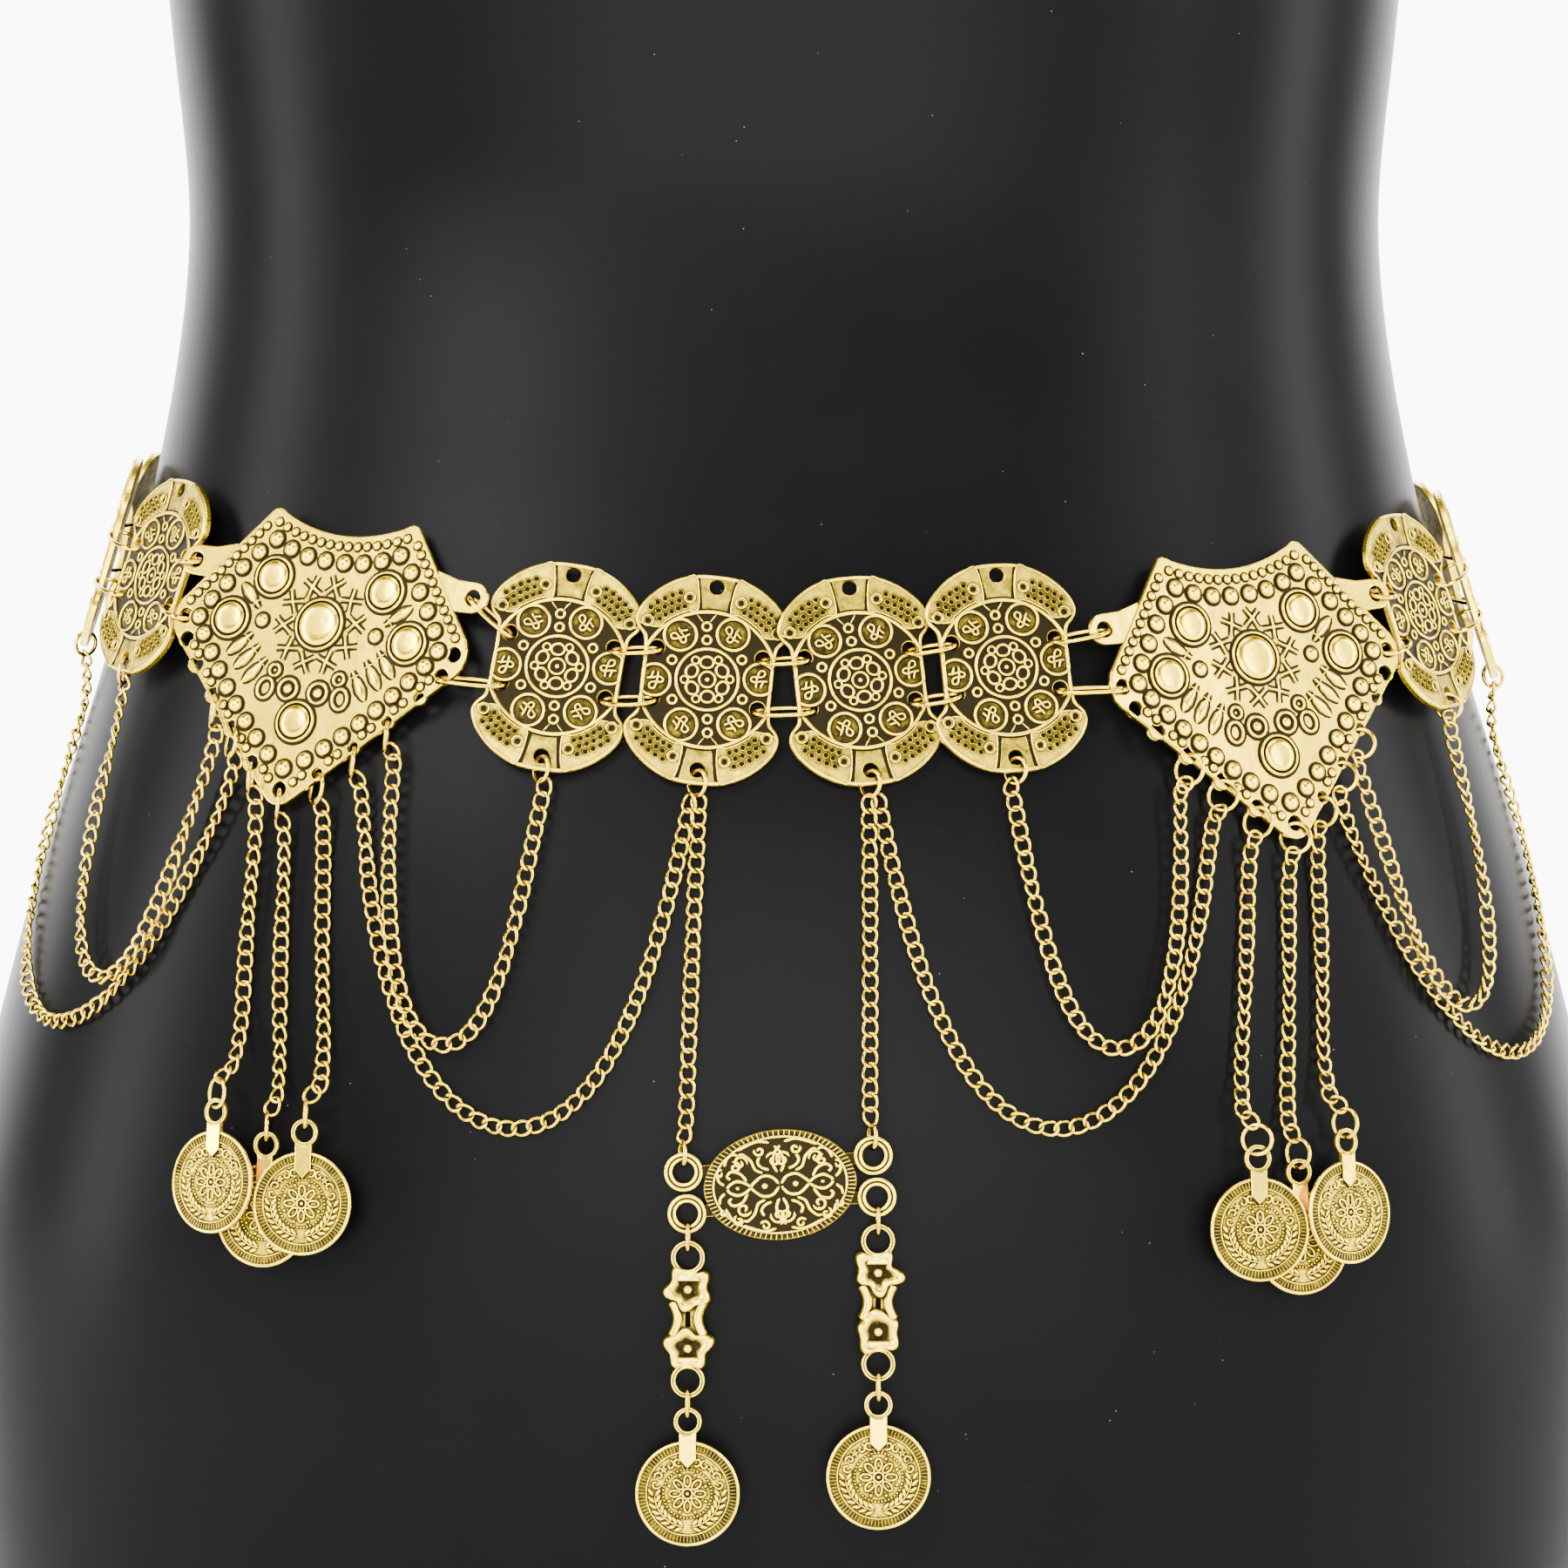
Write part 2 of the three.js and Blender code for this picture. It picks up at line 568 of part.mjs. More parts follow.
// The height of a gap above the form along a route that eases from its ends to the chain's own.
function easedGap(run, length, startGap, endGap, rest = CHAIN.gap) {
  const near = (distance) => Math.max(0, 1 - distance / EASE_LENGTH) ** 2;
  return rest + (startGap - rest) * near(run) + (endGap - rest) * near(length - run);
}

// A hanging chain of a given length between two points, laid on the form.
function drapedRoute(start, end, length, rest) {
  const [from, to] = [azimuthOf(start), azimuthOf(end)];
  const height = (start.z + end.z) / 2 - length / 4;
  const span = arcBetween(from, to, height);
  const drop = end.z - start.z;
  const target = Math.sqrt(length ** 2 - drop ** 2);
  let [low, high] = [span / 40, span * 40];
  for (let i = 0; i < 60; i++) {
    const c = Math.sqrt(low * high);
    if (2 * c * Math.sinh(span / (2 * c)) > target) low = c;
    else high = c;
  }
  const c = Math.sqrt(low * high);
  const middle = span / 2 - c * Math.asinh(drop / (2 * c * Math.sinh(span / (2 * c))));
  const count = 2 * Math.round(length / CHAIN.step / 2);
  const points = [];
  for (let i = 0; i <= count; i++) {
    const run = (length * i) / count;
    const x = middle + c * Math.asinh(run / c + Math.sinh(-middle / c));
    const z = start.z + c * (Math.cosh((x - middle) / c) - Math.cosh(middle / c));
    const gap = easedGap(run, length, gapOf(start), gapOf(end), rest);
    points.push(onForm(from + ((to - from) * x) / span, z, gap));
  }
  return [start, ...points.slice(1, -1), end];
}

function straightRoute(start, end) {
  const length = start.distanceTo(end);
  const count = 2 * Math.round(length / CHAIN.step / 2);
  const [from, to] = [azimuthOf(start), azimuthOf(end)];
  const points = [];
  for (let i = 0; i <= count; i++) {
    const t = i / count;
    const gap = easedGap(length * t, length, gapOf(start), gapOf(end));
    points.push(onForm(from + (to - from) * t, start.z + (end.z - start.z) * t, gap));
  }
  return [start, ...points.slice(1, -1), end];
}

// The ring that hangs a chain from a hole: its top passes through, its foot carries the chain.
function hangingRing(hole, out, radius = END_RING.radius, turn = END_RING.turn) {
  const down = UP.clone().negate().addScaledVector(out, out.z).normalize();
  const along = out.clone().cross(down).normalize();
  const across = out.clone().multiplyScalar(Math.cos(degrees(turn)));
  across.addScaledVector(along, Math.sin(degrees(turn)));
  const centre = hole.clone().addScaledVector(down, radius);
  const ring = wireRing(centre, down, across, radius, radius);
  const foot = centre.clone().addScaledVector(down, radius);
  return { ring, foot };
}

function shieldHole(offset) {
  const size = Math.abs(offset);
  const hole = SHIELD_HOLES.find(({ x }) => Math.abs(x - size) < 1) ?? SHIELD_TIP_HOLE;
  return { x: Math.sign(offset) * hole.x, y: hole.y };
}

// The foot of the pendant chains' rings, which the outer front swags hang beside.
function besideFoot(foot, name, side) {
  const along = new THREE.Vector3().setFromMatrixColumn(frames.get(name), 0);
  return foot.clone().addScaledVector(along, side * (CHAIN.halfNarrow + WIRE + 1.2));
}

function makeSwags() {
  const bottom = { x: 0, y: PLATE_END_HOLES.bottom };
  for (const { name, shield, hole, plate, length, over } of SWAGS) {
    const top = hangingRing(holeAt(shield, shieldHole(hole)), outOf(shield));
    const end = hangingRing(holeAt(plate, bottom), outOf(plate), 2.5);
    const shared = plate === "plate_front_2" || plate === "plate_front_3";
    const side = plate === "plate_front_2" ? -1 : 1;
    const foot = shared ? besideFoot(end.foot, plate, side) : end.foot;
    const rest = CHAIN.gap + (over ? CROSSING_RISE : 0);
    const pieces = [top.ring, chainStrip(drapedRoute(top.foot, foot, length, rest))];
    if (!shared) pieces.push(end.ring);
    place(name, joined(pieces), GOLD);
  }
}

// A coin drawn in x and y with its hanging point at the origin and its back at z = 0.
function coinBody() {
  const { radius, thickness, rim, rimRise } = COIN;
  const profile = [
    new THREE.Vector2(0, 0),
    new THREE.Vector2(radius, 0),
    new THREE.Vector2(radius, thickness),
    new THREE.Vector2(radius - rim, thickness - rimRise),
    new THREE.Vector2(0, thickness - rimRise),
  ];
  const face = new THREE.LatheGeometry(profile, 14).rotateX(Math.PI / 2).translate(0, -BAIL.above, 0);
  const strap = new THREE.Shape([
    new THREE.Vector2(-BAIL.strapHalf, -1.9),
    new THREE.Vector2(-BAIL.strapHalf, -BAIL.strapDown - 2.4),
    new THREE.Vector2(0, -BAIL.strapDown - 4),
    new THREE.Vector2(BAIL.strapHalf, -BAIL.strapDown - 2.4),
    new THREE.Vector2(BAIL.strapHalf, -1.9),
  ]);
  return joined([face, slab(strap, thickness + 0.2), eyelet(0, 0, BAIL.radius, BAIL.hole, thickness)]);
}

// The rings at a coin: the wire's centre is just under the top of the bail's hole.
const SEAT_ABOVE = BAIL.hole * 0.92 - WIRE - SEAM;

function makeCoins() {
  const coin = coinBody();
  const radius = COIN_LINK_RADIUS;
  for (const { side, number, hole, azimuth, height, layer, spread } of COIN_CHAINS) {
    const gap = COIN_GAP + layer * COIN_LAYER;
    const frame = frameAt({ azimuth, height, spread, gap });
    place(`coin_${side}_${number}`, coin, GOLD, frame);
    const shield = `shield_${side}`;
    const top = hangingRing(holeAt(shield, shieldHole(hole)), outOf(shield));
    const seat = new THREE.Vector3(0, SEAT_ABOVE, COIN.thickness / 2).applyMatrix4(frame);
    const { out, up } = axesAt(degrees(azimuth), height);
    const link = hangingRing(seat.clone().addScaledVector(up, 2 * radius), out, radius, 25);
    const start = seat.clone().addScaledVector(up, 2 * radius);
    const chain = chainStrip(straightRoute(top.foot, start));
    place(`coin_chain_${side}_${number}`, joined([top.ring, link.ring, chain]), GOLD);
  }
}

function makePendant() {
  const frame = frameAt(OVAL);
  const ellipse = new THREE.Matrix4().makeScale(1, OVAL.halfHeight / OVAL.halfWidth, 1);
  const profile = [
    new THREE.Vector2(0, 0),
    new THREE.Vector2(OVAL.halfWidth, 0),
    new THREE.Vector2(OVAL.halfWidth, 1.3),
    new THREE.Vector2(OVAL.halfWidth - 1.3, 1.6),
    new THREE.Vector2(OVAL.halfWidth * 0.5, 2.1),
    new THREE.Vector2(0, 2.4),
  ];
  const face = new THREE.LatheGeometry(profile, 18).rotateX(Math.PI / 2).applyMatrix4(ellipse);
  const pieces = [face];
  const { x, y, radius, hole } = OVAL_EYE;
  for (const [sx, sy] of [[-1, 1], [1, 1], [-1, -1], [1, -1]]) {
    pieces.push(eyelet(sx * x, sy * y, radius, hole, 1.4));
    const web = [[x - 6, y - 1.5], [x - 2.7, y - 1.5], [x - 2.7, y + 1.5], [x - 6, y + 1.5]];
    pieces.push(slab(new THREE.Shape(web.map(([wx, wy]) => new THREE.Vector2(sx * wx, sy * wy))), 1.2));
  }
  const oval = joined(pieces);
  const links = [];
  for (const side of [-1, 1]) {
    const name = side < 0 ? "left" : "right";
    const lower = new THREE.Vector3(side * x, -y - hole, 0.7).applyMatrix4(frame);
    const azimuth = azimuthOf(lower);
    const { up, out, along } = axesAt(azimuth, lower.z);
    const down = up.clone().negate();
    const eye = lower.clone().addScaledVector(up, WIRE - GRIP);
    const linkRadius = DROP.link;
    links.push(wireRing(eye.clone().addScaledVector(down, linkRadius), down, out, linkRadius, linkRadius));
    const wire = eye.clone().addScaledVector(down, 2 * linkRadius);
    makeDrop(name, wire, { up, out, along });
    const top = new THREE.Vector3(side * x, y + hole, 0.7).applyMatrix4(frame);
    const plate = side < 0 ? "plate_front_2" : "plate_front_3";
    const bottom = { x: 0, y: PLATE_END_HOLES.bottom };
    const hang = hangingRing(holeAt(plate, bottom), outOf(plate), PENDANT_RING.top);
    const seat = top.clone().addScaledVector(up, -WIRE - SEAM - 0.1);
    const footTop = seat.clone().addScaledVector(up, 2 * PENDANT_RING.foot);
    const foot = hangingRing(footTop, out, PENDANT_RING.foot, PENDANT_RING.turn);
    const chain = chainStrip(straightRoute(hang.foot, footTop));
    place(`pendant_chain_${name}`, joined([hang.ring, foot.ring, chain]), GOLD);
  }
  const body = solid(geometryOf(oval).applyMatrix4(frame));
  place("pendant_oval", links.map(solid).reduce((whole, piece) => whole.add(piece), body), GOLD);
}

// A double flower drop under one end of the oval, the link under it and its coin.
function makeDrop(name, wire, { up, out, along }) {
  const { length, bodyHalf, eyeRadius, eyeHole, thickness, link } = DROP;
  const topEye = { x: 0, y: -(eyeHole * 0.92 - WIRE - SEAM) };
  const lowEye = { x: 0, y: topEye.y - length };
  const pieces = [];
  for (const { x, y } of [topEye, lowEye]) pieces.push(eyelet(x, y, eyeRadius, eyeHole, thickness));
  const flowerSpread = length * 0.24;
  const centre = (topEye.y + lowEye.y) / 2;
  for (const sign of [-1, 1]) {
    const y = centre + sign * flowerSpread;
    pieces.push(disc(0, y, bodyHalf, 7, thickness, 0));
    pieces.push(dome(0, y, 1.3, 1.2, 6, thickness));
  }
  pieces.push(slab(new THREE.Shape([
    new THREE.Vector2(-bodyHalf * 0.62, topEye.y - eyeRadius * 0.9),
    new THREE.Vector2(-bodyHalf * 0.62, lowEye.y + eyeRadius * 0.9),
    new THREE.Vector2(bodyHalf * 0.62, lowEye.y + eyeRadius * 0.9),
    new THREE.Vector2(bodyHalf * 0.62, topEye.y - eyeRadius * 0.9),
  ]), thickness * 0.8));
  const frame = new THREE.Matrix4().makeBasis(along, up, out);
  frame.setPosition(wire.clone().addScaledVector(out, -thickness / 2));
  const hold = new THREE.Vector3(0, lowEye.y - eyeHole * 0.92 + WIRE - GRIP, thickness / 2);
  const [down, outward] = [new THREE.Vector3(0, -1, 0), new THREE.Vector3(0, 0, 1)];
  pieces.push(wireRing(hold.clone().addScaledVector(down, link), down, outward, link, link));
  place(`drop_${name}`, joined(pieces), DARK_GOLD, frame);
  const coinWire = hold.clone().addScaledVector(down, 2 * link).applyMatrix4(frame);
  const coinFrame = new THREE.Matrix4().makeBasis(along, up, out);
  const origin = coinWire.addScaledVector(up, -SEAT_ABOVE).addScaledVector(out, -COIN.thickness / 2);
  coinFrame.setPosition(origin);
  place(`coin_drop_${name}`, coinBody(), GOLD, coinFrame);
}

function makeBack() {
  const middle = Math.PI;
  const leftHole = holeAt("plate_left_3", { x: -PLATE_SIDE_HOLES.x, y: PLATE_SIDE_HOLES.upper });
  const rightHole = holeAt("plate_right_3", { x: PLATE_SIDE_HOLES.x, y: PLATE_SIDE_HOLES.upper });
  const claspHalf = arcAzimuth(CLASP.length / 2 + SEAM);
  const ends = [
    { name: "back_chain_left", hole: leftHole, plate: "plate_left_3", sign: -1 },
    { name: "back_chain_right", hole: rightHole, plate: "plate_right_3", sign: 1 },
  ];
  for (const { name, hole, plate, sign } of ends) {
    const out = outOf(plate);
    const along = new THREE.Vector3().setFromMatrixColumn(frames.get(plate), 0).multiplyScalar(sign);
    const across = out.clone().multiplyScalar(0.75).addScaledVector(UP, -0.66).normalize();
    const radius = 2.6;
    const centre = hole.clone().addScaledVector(along, radius - 0.1);
    const ring = wireRing(centre, along, across, radius, radius);
    const start = centre.clone().addScaledVector(along, radius);
    const finish = onForm(sign * (middle - claspHalf), BACK_HEIGHT, CHAIN.gap);
    const pieces = [ring, chainStrip(backRoute(start, finish, sign))];
    if (sign > 0) pieces.push(chainStrip(tailRoute()));
    place(name, joined(pieces), GOLD);
  }
  makeClasp();
}

function arcAzimuth(distance) {
  return distance / formRadius(Math.PI, BACK_HEIGHT);
}

function backRoute(start, finish, sign) {
  const from = azimuthOf(start);
  const to = sign * (Math.PI - Math.abs(Math.PI - Math.abs(azimuthOf(finish))));
  const length = arcBetween(from, to, BACK_HEIGHT);
  const count = 2 * Math.round(length / CHAIN.step / 2);
  const sag = 5;
  const points = [];
  for (let i = 0; i <= count; i++) {
    const t = i / count;
    const height = start.z + (finish.z - start.z) * t - sag * Math.sin(Math.PI * t);
    const gap = easedGap(length * t, length, gapOf(start), CHAIN.gap);
    points.push(onForm(from + (to - from) * t, height, gap));
  }
  return [start, ...points.slice(1)];
}

function tailRoute() {
  const azimuth = Math.PI - arcAzimuth(CLASP.length / 2 + TAIL_BESIDE);
  const count = 2 * Math.round(EXTENDER_LENGTH / CHAIN.step / 2);
  const points = [];
  for (let i = 0; i <= count; i++) {
    points.push(onForm(azimuth, BACK_HEIGHT - (EXTENDER_LENGTH * i) / count, CHAIN.gap));
  }
  return points;
}

function makeClasp() {
  const { length, halfWidth, thickness, eye } = CLASP;
  const outline = new THREE.Shape([
    new THREE.Vector2(-length / 2, -1.2),
    new THREE.Vector2(-length / 5, -halfWidth * 0.8),
    new THREE.Vector2(length / 5, -halfWidth),
    new THREE.Vector2(length / 2, -1.4),
    new THREE.Vector2(length / 2, 1.4),
    new THREE.Vector2(length / 5, halfWidth),
    new THREE.Vector2(-length / 5, halfWidth * 0.8),
    new THREE.Vector2(-length / 2, 1.2),
  ]);
  outline.holes.push(new THREE.Path(circlePath(length * 0.14, 0, eye, 8)));
  const frame = frameAt({ azimuth: 180, height: BACK_HEIGHT, gap: 0.6 });
  place("clasp", solid(slab(outline, thickness)), GOLD, frame);
}

makeForm();
makeBelt();
makeSwags();
makeCoins();
makePendant();
makeBack();

export default part;
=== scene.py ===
"""Looks of a cast metal waist chain on a plain black hip display form.

Drawings are in millimetres: x and y across a casting, z outwards. Places on the form are an
azimuth in degrees from the front towards +X, and a height. The shared frame is in metres.
"""
import math
import random

import bpy
import numpy as np
from mathutils import Matrix, Vector


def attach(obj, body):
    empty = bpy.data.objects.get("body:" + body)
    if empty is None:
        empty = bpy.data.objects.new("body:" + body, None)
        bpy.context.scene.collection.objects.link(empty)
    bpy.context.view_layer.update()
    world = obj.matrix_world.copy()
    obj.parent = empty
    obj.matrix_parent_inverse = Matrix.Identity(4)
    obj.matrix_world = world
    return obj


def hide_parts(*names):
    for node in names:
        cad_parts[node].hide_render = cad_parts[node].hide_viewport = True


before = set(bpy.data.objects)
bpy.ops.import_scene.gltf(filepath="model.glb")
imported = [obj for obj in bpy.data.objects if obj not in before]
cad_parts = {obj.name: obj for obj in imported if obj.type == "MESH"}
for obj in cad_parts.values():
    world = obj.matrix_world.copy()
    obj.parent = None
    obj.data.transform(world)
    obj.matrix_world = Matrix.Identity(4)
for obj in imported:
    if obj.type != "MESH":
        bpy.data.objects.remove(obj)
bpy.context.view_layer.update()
rng = random.Random(11)

MM = 0.001
# the frame's y starts from the middle of the whole, this far behind the form's own axis
MIDDLE_Y = 4.53
UP = Vector((0, 0, 1))

# Sizes shared with the solids

# height, half width, depth in front and behind
FORM_SECTIONS = [
    (0, 171, 97, 103),
    (40, 175, 101, 112),
    (90, 176, 103, 119),
    (130, 168.5, 101, 117),
    (170, 158, 96, 108),
    (205, 147, 89, 97),
    (250, 134.5, 80, 84),
    (300, 127.5, 74, 76),
    (345, 131, 77, 79),
    (380, 135, 81, 84),
]
FORM_SQUARENESS = 2.35
FORM_HEIGHT = 380
FORM_EDGE_ROUND = 9

PLATE_THICKNESS = 1.2
PLATE_SIDE_X, PLATE_UPPER_Y, PLATE_LOWER_Y = 10.2, 5.3, -4.7
PLATE_TOP_Y, PLATE_BOTTOM_Y = 18.3, -17.7
HOLE_RADIUS = 1.5
STAND_OFF = 2.2
# name, azimuth, height, lean, spread, gap
ROUND_PLATES = [
    ("plate_front_1", -26.6, 206.9, 8, 4.5, STAND_OFF),
    ("plate_front_2", -9.4, 204.3, 5.5, 4.5, STAND_OFF),
    ("plate_front_3", 9.2, 204.2, -6, 4.5, STAND_OFF),
    ("plate_front_4", 25.9, 206.5, -4, 3, 3.2),
    ("plate_left_1", -69.6, 226.1, 10, -1, 3.4),
    ("plate_left_2", -81.4, 232.5, 10, -5, 4.4),
    ("plate_left_3", -94.2, 237, 9, -3, 2.6),
    ("plate_right_1", 69.1, 219, -8, 1, 3.2),
    ("plate_right_2", 81.0, 225.5, -9, 5, 4.4),
    ("plate_right_3", 93.8, 230.5, -8, 3, 2.6),
]
SHIELDS = [
    ("shield_left", -50.7, 215.4, 8.4, 0, STAND_OFF),
    ("shield_right", 50.6, 208.9, -8.2, 2, STAND_OFF),
]
SHIELD_THICKNESS = 1.3
SHIELD_EYE = (31.6, 9.6)
SHIELD_HOLES = [(30.6, -2), (29, -6.6), (25.4, -11.4), (19.8, -17), (13.8, -23), (7.5, -29.2)]
SHIELD_TIP_HOLE = (0, -33.4)
SHIELD_FIELD = 0.84
# x, y, radius of the ring round each boss
SHIELD_BOSSES = [
    (0, 0, 5.0),
    (-12.7, 8.2, 3.9),
    (12.7, 8.2, 3.9),
    (-20.2, -1.3, 3.9),
    (20.2, -1.3, 3.9),
    (0, -19.8, 3.9),
]

WIRE = 0.42
SEAM = 0.3
RING_RADIUS = 2.9
RING_TURN = 38
CHAIN_GAP = 1.3
CROSSING_RISE = 2.1
EASE_LENGTH = 14
# name, shield, hole offset, plate, chain length, lies over another
SWAGS = [
    ("swag_front_left_outer", "shield_left", 14, "plate_front_2", 156, False),
    ("swag_front_left_inner", "shield_left", 20, "plate_front_1", 116, True),
    ("swag_front_right_outer", "shield_right", -14, "plate_front_3", 150, False),
    ("swag_front_right_inner", "shield_right", -20, "plate_front_4", 112, True),
    ("swag_side_left_outer", "shield_left", -14, "plate_left_2", 158, False),
    ("swag_side_left_inner", "shield_left", -20, "plate_left_1", 120, True),
    ("swag_side_right_outer", "shield_right", 14, "plate_right_2", 156, False),
    ("swag_side_right_inner", "shield_right", 20, "plate_right_1", 116, True),
]
COIN_THICKNESS = 0.9
COIN_RADIUS = 9.8
BAIL_ABOVE, BAIL_RADIUS, BAIL_HOLE = 13.4, 2.65, 1.65
# the wire's middle bears on an eye's rim at this share of the hole's radius
BEARING = 0.92
SEAT_ABOVE = BAIL_HOLE * BEARING - WIRE - SEAM
# side, number, hole offset, azimuth, height, layer, spread
COIN_CHAINS = [
    ("left", 1, -7, -51.4, 121.5, 1, -10),
    ("left", 2, 0, -47.6, 115.6, 0, 0),
    ("left", 3, 7, -44.4, 118.2, 1, 4),
    ("right", 1, -7, 43.8, 113.4, 1, -4),
    ("right", 2, 0, 47.2, 110.5, 0, 0),
    ("right", 3, 7, 50.7, 115.9, 1, 10),
]
COIN_GAP, COIN_LAYER = 2.9, 1.7
COIN_RING = 2.8
COIN_FIELD = 0.36
OVAL_AZIMUTH, OVAL_HEIGHT, OVAL_LEAN, OVAL_GAP = -0.4, 109.6, -5, 2.1
OVAL_HALF_WIDTH, OVAL_HALF_HEIGHT = 14.4, 10.3
OVAL_EYE_MIDDLE, OVAL_RING = 0.7, 2.3
OVAL_EYE_X, OVAL_EYE_Y, OVAL_EYE_RADIUS, OVAL_EYE_HOLE = 17.9, 3.9, 3.7, 2.1
DROP_LENGTH, DROP_EYE_RADIUS, DROP_EYE_HOLE, DROP_THICKNESS = 23, 3.2, 2.1, 1.3
DROP_LINK = 2.6
DROP_EYE_TOP = -(DROP_EYE_HOLE * BEARING - WIRE - SEAM)
# the drawn eyes are opened a little, so that they clear their rings at full swing
EYE_RELIEF = 0.22
# the middle of a ring's wire lies this far inside the rim of the eye that it hangs in
WIRE_REST = WIRE - 0.12
BACK_HEIGHT = 236
CLASP_LENGTH = 13
EXTENDER_LENGTH = 52
TAIL_BESIDE = 5
BACK_SAG = 5
END_RING = 2.6

# The form's surface


def hermite(t):
    """Weights of a cubic's start, slope at the start, end and slope at the end."""
    return 2 * t**3 - 3 * t**2 + 1, t**3 - 2 * t**2 + t, 3 * t**2 - 2 * t**3, t**3 - t**2


def section_at(height):
    """Half width, front depth and back depth of the form, smoothed between its sections."""
    z = min(max(height, 0.0), FORM_HEIGHT)
    last = len(FORM_SECTIONS) - 2
    i = 0
    while i < last and FORM_SECTIONS[i + 1][0] <= z:
        i += 1
    a, b = FORM_SECTIONS[i], FORM_SECTIONS[i + 1]
    before = FORM_SECTIONS[max(0, i - 1)]
    after = FORM_SECTIONS[min(last + 1, i + 2)]
    span = b[0] - a[0]
    h = hermite((z - a[0]) / span)
    out = []
    for k in (1, 2, 3):
        start = (b[k] - before[k]) / (b[0] - before[0])
        end = (after[k] - a[k]) / (after[0] - a[0])
        out.append(h[0] * a[k] + h[1] * span * start + h[2] * b[k] + h[3] * span * end)
    return out


def form_radius(azimuth, height):
    half_width, front, back = section_at(height)
    across = abs(math.sin(azimuth)) / half_width
    along = abs(math.cos(azimuth)) / (front if math.cos(azimuth) > 0 else back)
    return (across**FORM_SQUARENESS + along**FORM_SQUARENESS) ** (-1 / FORM_SQUARENESS)


def surface(azimuth, height):
    r = form_radius(azimuth, height)
    return Vector((r * math.sin(azimuth), -r * math.cos(azimuth), height))


def axes_at(azimuth, height):
    along = (surface(azimuth + 0.002, height) - surface(azimuth - 0.002, height)).normalized()
    rise = surface(azimuth, height + 0.5) - surface(azimuth, height - 0.5)
    out = along.cross(rise).normalized()
    return along, out.cross(along).normalized(), out


def on_form(azimuth, height, gap):
    return surface(azimuth, height) + axes_at(azimuth, height)[2] * gap


def azimuth_of(p):
    return math.atan2(p.x, -p.y)


def gap_of(p):
    """Distance of a point from the form: the level distance, less a little for the side's slope."""
    slope_share = 0.97
    return (math.hypot(p.x, p.y) - form_radius(azimuth_of(p), p.z)) * slope_share


def arc_between(start, end, height):
    steps = 24
    points = [surface(start + (end - start) * i / steps, height) for i in range(steps + 1)]
    return sum((b - a).length for a, b in zip(points, points[1:]))


def basis(x, y, z, origin):
    m = Matrix((x, y, z)).transposed().to_4x4()
    m.translation = origin
    return m


def frame_at(azimuth, height, lean=0.0, spread=0.0, gap=0.0):
    a = math.radians(azimuth)
    along, up, out = axes_at(a, height)
    m = basis(along, up, out, on_form(a, height, gap))
    m = m @ Matrix.Rotation(math.radians(-lean), 4, "Z")
    return m @ Matrix.Rotation(math.radians(spread), 4, "Y")


# Mesh building


class Build:
    """Points in millimetres with a relief value each, and faces of three or four corners."""

    def __init__(self):
        self.points, self.relief, self.faces, self.smooth = [], [], [], []
        self.count = 0
        # width of the dark patina and painted shade round raised work, and the relief value of the open
        # field
        self.moat = None

    def add(self, points, faces, relief, smooth=True):
        points = np.asarray(points, dtype=float).reshape(-1, 3)
        base = self.count
        self.points.append(points)
        self.relief.append(np.broadcast_to(np.asarray(relief, dtype=float), (len(points),)).copy())
        self.faces.extend(tuple(base + i for i in f) for f in faces)
        self.smooth.extend([smooth] * len(faces))
        self.count += len(points)

    def take(self, other, matrix=None):
        points = np.vstack(other.points)
        if matrix is not None:
            m = np.array(matrix)
            points = points @ m[:3, :3].T + m[:3, 3]
        made = len(self.faces)
        self.add(points, other.faces, np.concatenate(other.relief))
        self.smooth[made:] = other.smooth

    def mirrored(self):
        other = Build()
        points, relief = np.vstack(self.points), np.concatenate(self.relief)
        other.add(points * (-1, 1, 1), [f[::-1] for f in self.faces], relief)
        other.smooth = list(self.smooth)
        return other

    def finish(self, name, material):
        points = np.vstack(self.points) * MM
        points[:, 1] -= MIDDLE_Y * MM
        mesh = bpy.data.meshes.new(name)
        mesh.from_pydata(points.tolist(), [], self.faces)
        mesh.polygons.foreach_set("use_smooth", self.smooth)
        layer = mesh.attributes.new("relief", "FLOAT", "POINT")
        layer.data.foreach_set("value", np.concatenate(self.relief))
        mesh.materials.append(material)
        mesh.update()
        obj = bpy.data.objects.new(name, mesh)
        bpy.context.scene.collection.objects.link(obj)
        return obj


def grid_faces(rows, cols, close_rows=False, close_cols=False):
    faces = []
    for r in range(rows if close_rows else rows - 1):
        for c in range(cols if close_cols else cols - 1):
            r2, c2 = (r + 1) % rows, (c + 1) % cols
            faces.append((r * cols + c, r2 * cols + c, r2 * cols + c2, r * cols + c2))
    return faces


def flipped(faces):
    return [(a, d, c, b) for a, b, c, d in faces]


